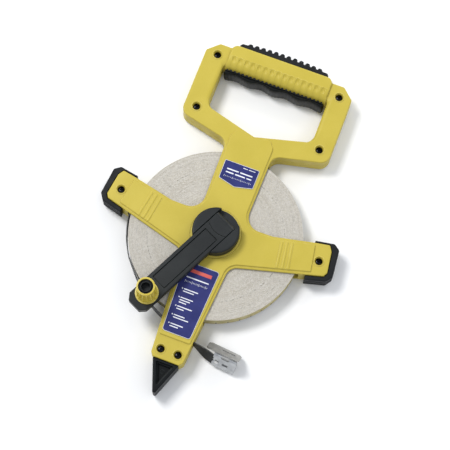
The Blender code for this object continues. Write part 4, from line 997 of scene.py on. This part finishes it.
def make_bumper(name, node, sign):
    """A rubber cap round the arm's end, with a groove along its outer wall."""
    low, high = box_mm(node)
    outer = [(sign * x, y, radius) for x, y, radius in BUMPER_OUTER]
    if sign < 0:
        outer = reversed_loop(outer)
    rise = high.z - SPLIT_Z
    upper = [(0, 1.6), (0.45, 2.1), (0.45, 3.0), (0, 3.5), *roll_over(1.2, rise)]
    levels = [(inset, -z) for inset, z in reversed(upper)] + upper
    bumper = loose_object(name, shape(add_slab, [outer], [(inset, SPLIT_Z + z) for inset, z in levels]))
    cut(bumper, add_slab, [both_sides(FRAME_RIGHT)], [(-0.3, low.z - 2), (-0.3, high.z - 0.9),
                                                      (-0.9, high.z + 0.05), (-0.9, high.z + 2)])
    near, far = sorted(sign * x for x in PEG_X)
    join(bumper, add_box, (near, PEG_Y[0], SPLIT_Z - PEG_HALF), (far, PEG_Y[1], SPLIT_Z + PEG_HALF))
    settle(bumper)
    dress(bumper, RUBBER, "root", [node], 35)


def make_spike():
    """The ground spike: rounded edges, a stepped triangular recess on each face, and its tang."""
    high = box_mm("ground_spike")[1]
    root_y = FRAME_LOW.y - 0.3
    outline = [(-11.4, root_y, 0.6), (0.0, -147.0, 1.6), (11.4, root_y, 0.6)]
    rise = high.z - SPLIT_Z
    upper = [(0, 0.5), *roll_over(1.0, rise)]
    levels = [(inset, -z) for inset, z in reversed(upper)] + upper
    spike = loose_object("spike_body", shape(add_slab, [outline],
                                             [(inset, SPLIT_Z + z) for inset, z in levels]))
    recess = bmesh.new()
    inner = [(-7.6, root_y - 2.2, 0.9), (0.0, -138.6, 1.2), (7.6, root_y - 2.2, 0.9)]
    for side in (1, -1):
        steps = [(1.5, 3.0), (1.2, 3.3), (1.1, rise - 2.4), (0.3, rise - 2.2), (0.0, rise - 0.4),
                 (-0.35, rise + 0.05), (-0.5, rise + 1)]
        add_slab(recess, [inner], at_rises(side, steps))
    combine(spike, recess, "DIFFERENCE")
    join(spike, add_turned, [(1.5, at_rise(1, 2.9)), (2.0, at_rise(1, 2.9)), (1.9, at_rise(1, 3.35)),
                             (1.6, at_rise(1, 3.35))], (0, -124.5), 32)
    join(spike, add_box, (-9, root_y - 1, SPLIT_Z - 3.1), (9, -101.5, SPLIT_Z + 3.1))
    settle(spike)
    dress(spike, SPIKE_PLASTIC, "root", ["ground_spike"], 30)


def cross_outline(long, short):
    arm = [(long, -short), (long, short), (short, short)]
    points = []
    for _ in range(4):
        points += arm
        arm = [(-y, x) for x, y in arm]
    return points


def make_screws():
    """Cross-head screws with domed heads."""
    top = SCREW_TOP
    for number, (x, y) in enumerate(mirrored_places(), 1):
        dome = [(SCREW_HEAD_R * math.cos(a), top - 0.9 + 0.9 * math.sin(a)) for a in arc(6)][:-1]
        profile = [(0, 4.6), (0.9, 4.6), (1.5, 6.2), (1.5, top - 1.9), (SCREW_HEAD_R, top - 1.9), *dome,
                   (0, top)]
        screw = loose_object(f"screw_{number}", shape(add_turned, profile, (x, y), 40))
        turn = Matrix.Rotation(number * 1.3, 2)
        corners = [turn @ Vector(p) for p in cross_outline(1.75, 0.38)]
        cut(screw, add_slab, [[(x + p.x, y + p.y, 0) for p in corners]],
            [(0.25, top - 1.4), (0, top - 0.6), (0, top + 1)])
        settle(screw)
        dress(screw, OXIDE, "root", [f"frame_screw_{number}"], 30)


# Hub, crank and knob


def make_hub():
    low, high = HUB_LOW.z, HUB_HIGH.z
    radius, channel_half, floor = 20.0, 10.6, low + 2.5
    edge = [(radius - 1.6 + 1.6 * math.cos(a), high - 1.6 + 1.6 * math.sin(a)) for a in arc(5)]
    profile = [(0, low), (radius - 0.5, low), (radius, low + 0.5), *edge, (0, high)]
    hub = loose_object("hub_body", shape(add_turned, profile, segments=144))
    section = [(-channel_half, floor + 0.3), (-channel_half + 0.3, floor), (channel_half - 0.3, floor),
               (channel_half, floor + 0.3), (channel_half, high - 0.4), (channel_half + 0.45, high + 0.05),
               (channel_half + 0.45, high + 2), (-channel_half - 0.45, high + 2),
               (-channel_half - 0.45, high + 0.05), (-channel_half, high - 0.4)]
    cut(hub, add_ribbon, [[(x, y, z) for y, z in section] for x in (-radius - 2, radius + 2)],
        place=SLIT_TURN)
    cut(hub, add_turned, [(0, low - 1), (1.9, low - 1), (1.9, floor - 1.3), (3.6, floor - 1.3),
                          (3.6, floor + 1), (0, floor + 1)], segments=40)
    cut(hub, add_rod, 1.8, (-9.2, -radius - 1, CRANK_HINGE.z), (-9.2, radius + 1, CRANK_HINGE.z),
        place=SLIT_TURN)
    settle(hub)
    dress(hub, GRAPHITE, "reel", ["hub_cap"], 30)


def make_arm():
    """The crank arm from its hinge barrel to its tip, with a thumb pad and a recessed panel."""
    place = Matrix.Translation(CRANK_HINGE) @ SLIT_TURN
    half_width, reach = 10.2, 102.7
    half = (ARM_HIGH.z - ARM_LOW.z) / 2
    outline = [(0, -half_width, 0), (reach - 5, -half_width, 1.0), (reach, -half_width + 4.2, 1.0),
               (reach, half_width - 4.2, 1.0), (reach - 5, half_width, 1.0), (0, half_width, 0)]
    levels = [(0.5, -half), (0, 0.5 - half), *roll_over(0.7, half)]
    arm = loose_object("arm_body", shape(add_slab, [outline], levels), place)
    side = half_width - 0.02
    section = [(half, -side + 0.5), (half - 0.2, -side + 0.15), (half - 0.5, -side), (0, -side), (0, side),
               (half - 0.5, side), (half - 0.2, side - 0.15), (half, side - 0.5)]
    join(arm, add_turned, section, segments=64, place=place @ Matrix.Rotation(math.pi / 2, 4, "X"))
    hollows = bmesh.new()
    panel = rectangle((14.2, -7.3), (75.2, 7.3), 0.8)
    add_slab(hollows, [panel], [(0.15, half - 1.6), (0.1, half - 0.2), (-0.1, half + 0.02),
                                (-0.1, half + 1)])
    raised = bmesh.new()
    add_slab(raised, [panel], [(0.75, half - 2.2), (0.75, half - 1.0), (1.1, half - 0.75)])
    add_rod(hollows, 1.8, (0, -half_width - 1, 0), (0, half_width + 1, 0))
    knob_x = (KNOB_PLACE - CRANK_HINGE).xy.length
    add_turned(hollows, [(0, -half - 1), (3.9, -half - 1), (3.9, half + 1), (0, half + 1)], (knob_x, 0), 48)
    combine(arm, hollows, "DIFFERENCE", place)
    stations = []
    for k in range(25):
        across = -1 + k / 12
        x = 7.5 + 3.5 * (1 - across * across)
        y = across * (half_width + 0.5)
        stations.append([(x + dx, y, z) for dx, z in ((-0.25, half - 0.8), (0.25, half - 0.8),
                                                      (0.45, half - 0.1), (0.7, half + 1), (-0.7, half + 1),
                                                      (-0.45, half - 0.1))])
    cut(arm, add_ribbon, stations, place=place)
    combine(arm, raised, "UNION", place)
    settle(arm)
    dress(arm, GRAPHITE, "crank", ["crank_arm"], 30)


def make_knob():
    """The fluted grip that spins on its post."""
    low, high = KNOB_LOW.z, KNOB_HIGH.z
    flutes = 14
    shoulder = high - 5
    bore = 4.9

    def wave(angle, z, radius):
        inside = radius < 7
        between = min(1, max(0, (z - low - 2.3) / 1.2)) * min(1, max(0, (high - 2.6 - z) / 1.2))
        scoop = 0.5 + 0.5 * math.cos(flutes * angle)
        return 0 if inside else -1.25 * between * scoop ** 0.9

    body = [(8.6 - 1.2 * k / 14, low + 2.2 + (high - low - 4.4) * k / 14) for k in range(15)]
    rim = [(7.6, high - 1.7), (7.75, high - 1.3), (7.75, high - 0.55), (7.6, high - 0.15), (7.25, high)]
    profile = [(bore, low), (9.5, low), (9.8, low + 0.3), (9.8, low + 1.1), (9.5, low + 1.5),
               (8.8, low + 1.6), *body, *rim, (6.45, high), (6.25, high - 0.2), (6.2, high - 0.5),
               (6.2, shoulder), (bore, shoulder)]
    centre = (KNOB_PLACE.x, KNOB_PLACE.y)
    turned_piece("knob_grip", profile, KNOB_YELLOW, "knob", ["grip_knob"], centre,
                 14 * 14, wave)
    arm_low, arm_top = ARM_LOW.z, ARM_HIGH.z
    top = box_mm("knob_post")[1].z
    lip = [(4.6 - 0.5 * (1 - math.cos(a)), top - 0.5 + 0.5 * math.sin(a)) for a in arc(4)]
    post = [(0, arm_low + 0.4), (3.6, arm_low + 0.4), (3.6, arm_top + 0.3), (4.6, arm_top + 0.3), *lip,
            (4.0, top), (3.8, top - 0.2), (3.8, top - 6.7), (0, top - 6.7)]
    turned_piece("post_body", post, GRAPHITE, "crank", ["knob_post"], centre, 72)


# Clip and claw


def clip_place():
    turn = Matrix.Rotation(CLIP_YAW, 4, "Z") @ Matrix.Rotation(CLIP_LEAN, 4, "X")
    return Matrix.Translation(CLAW_HINGE) @ turn


def make_clip():
    """A folded sheet with a slot, a crimped edge and two hinge knuckles."""
    place = clip_place()
    depth, length, sheet, gap = 14.9, 20.5, 0.6, 0.75
    outer = gap + sheet
    front = [(0, -depth + 0.6, 0.4), (1.0, -depth, 0.4), (length, -depth, 0.5), (length, 0, 0), (0, 0, 0),
             (0, -3.6, 0.3), (1.3, -4.6, 0.4), (0.1, -6.0, 0.4), (1.4, -7.6, 0.4), (0, -9.4, 0.4)]
    place_plate = place @ Matrix.Rotation(math.pi / 2, 4, "X")
    plate_levels = [(0.12, gap), (0, gap + 0.12), (0, outer - 0.14), (0.05, outer - 0.04), (0.14, outer)]
    clip = loose_object("clip_body", shape(add_slab, [front], plate_levels), place_plate)
    rear = [(0.3, -depth, 0.4), (length, -depth, 0.5), (length, -1.9, 0.3), (0.3, -1.9, 0.3)]
    join(clip, add_slab, [rear], [(inset, -z) for inset, z in reversed(plate_levels)], place=place_plate)
    join(clip, add_box, (length - sheet, -outer + 0.05, 0.05 - depth), (length + 0.05, outer - 0.05, -2.0),
         place=place)
    knuckles = bmesh.new()
    add_rod(knuckles, KNUCKLE_R, (0.05, 0, 0), (KNUCKLE_START - FIT, 0, 0))
    add_rod(knuckles, KNUCKLE_R, (KNUCKLE_END + FIT, 0, 0), (length - 0.05, 0, 0))
    combine(clip, knuckles, "UNION", place)
    cut(clip, add_rod, PIN_BORE_R, (-1, 0, 0), (length + 1, 0, 0), place=place)
    cut(clip, add_rod, 1.8, (KNUCKLE_START - FIT, 0, 0), (KNUCKLE_END + FIT, 0, 0), place=place)
    slot = rectangle((9.0, -9.6), (14.0, -7.2), 0.5)
    cut(clip, add_slab, [slot], [(0, gap - 0.3), (0, outer - 0.15), (-0.3, outer + 0.1), (-0.3, outer + 1)],
        place=place_plate)
    cut(clip, add_rod, 1.3, (4, -4, -8.1), (4, 4, -8.1), place=place)
    settle(clip)
    dress(clip, STEEL, "root", ["end_clip"], 30)


def make_claw():
    """The plate that hangs from the clip's pin, with chamfered corners, a slot and a rolled knuckle."""
    place = clip_place() @ Matrix.Rotation(CLAW_HANG - CLIP_LEAN, 4, "X")
    left, right, foot, corner = -8.3, 21.2, -15.6, 2.4
    outline = [(left + 1.5, 0.6, 0.5), (left, -2.0, 0.5), (left, foot + corner, 0.5),
               (left + corner, foot, 0.5), (right - corner, foot, 0.5), (right, foot + corner, 0.5),
               (right, -1.5, 0.5), (right - 1.5, 0.6, 0.5)]
    near, sheet = 1.65, 0.6
    plate_place = place @ Matrix.Rotation(math.pi / 2, 4, "X")
    claw = loose_object("claw_body", shape(add_slab, [outline], [(0, -near - sheet), (0, -near)]),
                        plate_place)
    join(claw, add_box, (KNUCKLE_START, 0.3, -0.9), (KNUCKLE_END, near + 0.3, 0.5), place=place)
    join(claw, add_rod, KNUCKLE_R, (KNUCKLE_START, 0, 0), (KNUCKLE_END, 0, 0), place=place)
    cut(claw, add_rod, PIN_BORE_R, (KNUCKLE_START - 1, 0, 0), (KNUCKLE_END + 1, 0, 0), place=place)
    edge = rectangle((KNUCKLE_START - 3, -10.3), (KNUCKLE_END + 3, -8.3), 1.0)
    cut(claw, add_slab, [edge], [(0, -near - sheet - 1), (0, -near + 0.4)], place=plate_place)
    settle(claw)
    bevelled(claw, 0.14)
    dress(claw, CLAW_STEEL, "claw", ["hook_claw"], 30)


# Labels


def add_bar(bm, x, y, width, height, low, high):
    half = height / 2
    corners = rectangle((x, y - half), (x + width, y + half), 0.2)
    add_slab(bm, [corners], [(0, low), (0, high)], math.radians(45))


def make_label(name, node, right, print_bars, red_bars=()):
    """A sticker: a white edge, a blue field and plain printed bars, each a thin layer."""
    low, high = box_mm(node)
    base, top = low.z, high.z
    edge = shape(add_slab, [both_sides(right)], [(0, base), (0, top - 0.06), (0.05, top - 0.04)])
    dress(loose_object(f"{name}_edge", edge), WHITE, "root", [node])
    field = shape(add_slab, [both_sides(right)], [(0.3, top - 0.1), (0.3, top - 0.02), (0.35, top)])
    dress(loose_object(f"{name}_field", field), BLUE, "root")
    for suffix, bars, ink in (("print", print_bars, WHITE), ("band", red_bars, RED)):
        if not bars:
            continue
        bm = bmesh.new()
        for x, y, width, height in bars:
            add_bar(bm, x, y, width, height, top - 0.03, top + 0.02)
        dress(loose_object(f"{name}_{suffix}", bm), ink, "root")


def make_labels():
    neck = [(-11.5, 57.6, 10.5, 1.1), (0.5, 57.6, 11.0, 1.1), (-11.5, 54.6, 7.0, 1.1),
            (-3.2, 54.6, 9.0, 1.1), (7.2, 54.6, 4.3, 1.1), (1.5, 62.4, 4.0, 0.6), (6.5, 62.4, 6.0, 0.6)]
    neck += [(-12.0 + 1.5 * k, 50.9, 0.35, 1.9 if k % 5 == 0 else 1.0) for k in range(17)]
    leg = []
    for group, lengths in enumerate(((12.5, 9.5), (11.0, 9.0, 6.5), (13.0, 6.5), (9.5, 13.5), (11.0, 7.5))):
        y = -54.2 - 7.8 * group
        leg.append((-9.6, y, 1.0, 1.0))
        leg += [(-7.8, y - 2.1 * k, length, 0.85) for k, length in enumerate(lengths)]
    leg += [(-9.5 + 1.2 * k, -47.4, 0.35, 2.4 if k % 5 == 0 else 1.3) for k in range(17)]
    leg.append((-9.5, -43.6, 19.6, 1.0))
    make_label("neck_sticker", "neck_label", NECK_LABEL, neck)
    make_label("leg_sticker", "leg_label", LEG_LABEL, leg, [(-10.5, -37.4, 21.0, 3.0)])


# CAD nodes that keep their shape


def repaint(node, made_of):
    obj = frame["nodes"][node]
    obj.data.materials.clear()
    obj.data.materials.append(made_of)


def repaint_kept_nodes():
    kept = [
        ("reel_drum", GRAPHITE, "black_plastic"),
        ("drum_bush", BRASS, "bush_brass"),
        ("tape_anchor_peg", TURNED_STEEL, "plated_steel"),
        ("thrust_washer", TURNED_STEEL, "plated_steel"),
        ("hub_screw", TURNED_STEEL, "plated_steel"),
        ("crank_pin", TURNED_STEEL, "plated_steel"),
        ("knob_retainer", OXIDE, "black_steel"),
        ("leader_rivet", TURNED_STEEL, "plated_steel"),
        ("claw_pin", TURNED_STEEL, "plated_steel"),
    ]
    for node, made_of, slot in kept:
        repaint(node, made_of)


# Stage


def make_camera():
    camera = bpy.data.cameras.new("camera")
    camera.sensor_width = 36
    camera.lens = 112.03
    camera.clip_start = 0.01
    camera.clip_end = 20
    obj = placed_object("camera", camera)
    turn = VIEW.transposed()
    obj.matrix_world = Matrix.Translation(turn @ CAMERA_PLACE / 1000) @ turn.to_4x4()
    bpy.context.scene.camera = obj


def make_floor():
    bm = bmesh.new()
    half = 6000
    drop = 0.4
    for x, y in ((-half, -half), (half, -half), (half, half), (-half, half)):
        bm.verts.new((x, y, -drop))
    bm.faces.new(bm.verts)
    floor = loose_object("studio_floor", bm)
    recipe = Recipe("floor_paper", 0.9)
    recipe.feed(recipe.tint(recipe.spread(recipe.noise(60, 2), 0, 1), (0.90, 0.90, 0.90),
                            (0.92, 0.92, 0.92)), "Base Color")
    floor.data.materials.append(recipe.material)


def add_light(name, direction, distance, size, power, color):
    """A square soft light that shines on the object from a direction given as the camera sees it."""
    light = bpy.data.lights.new(name, "AREA")
    light.shape = "SQUARE"
    light.size = size
    light.energy = power
    light.color = color
    obj = placed_object(name, light)
    away = VIEW.transposed() @ Vector(direction).normalized()
    obj.matrix_world = Matrix.Translation(away * distance) @ away.to_track_quat("Z",
                                                                                "Y").to_matrix().to_4x4()


def make_light():
    world = bpy.data.worlds.new("studio")
    world.use_nodes = True
    background = world.node_tree.nodes["Background"]
    background.inputs["Color"].default_value = (0.90, 0.94, 1.0, 1)
    background.inputs["Strength"].default_value = 0.64
    bpy.context.scene.world = world
    for name, settings in LIGHTS.items():
        add_light(name, *settings)


def main():
    make_camera()
    make_floor()
    make_light()
    make_front_shell()
    make_back_shell()
    make_leader()
    make_coil()
    make_palm_grip()
    make_finger_rest()
    make_bumper("bumper_cap_left", "bumper_left", -1)
    make_bumper("bumper_cap_right", "bumper_right", 1)
    make_spike()
    make_screws()
    make_hub()
    make_arm()
    make_knob()
    make_clip()
    make_claw()
    make_labels()
    repaint_kept_nodes()
    bpy.context.scene.view_settings.view_transform = "Standard"


main()
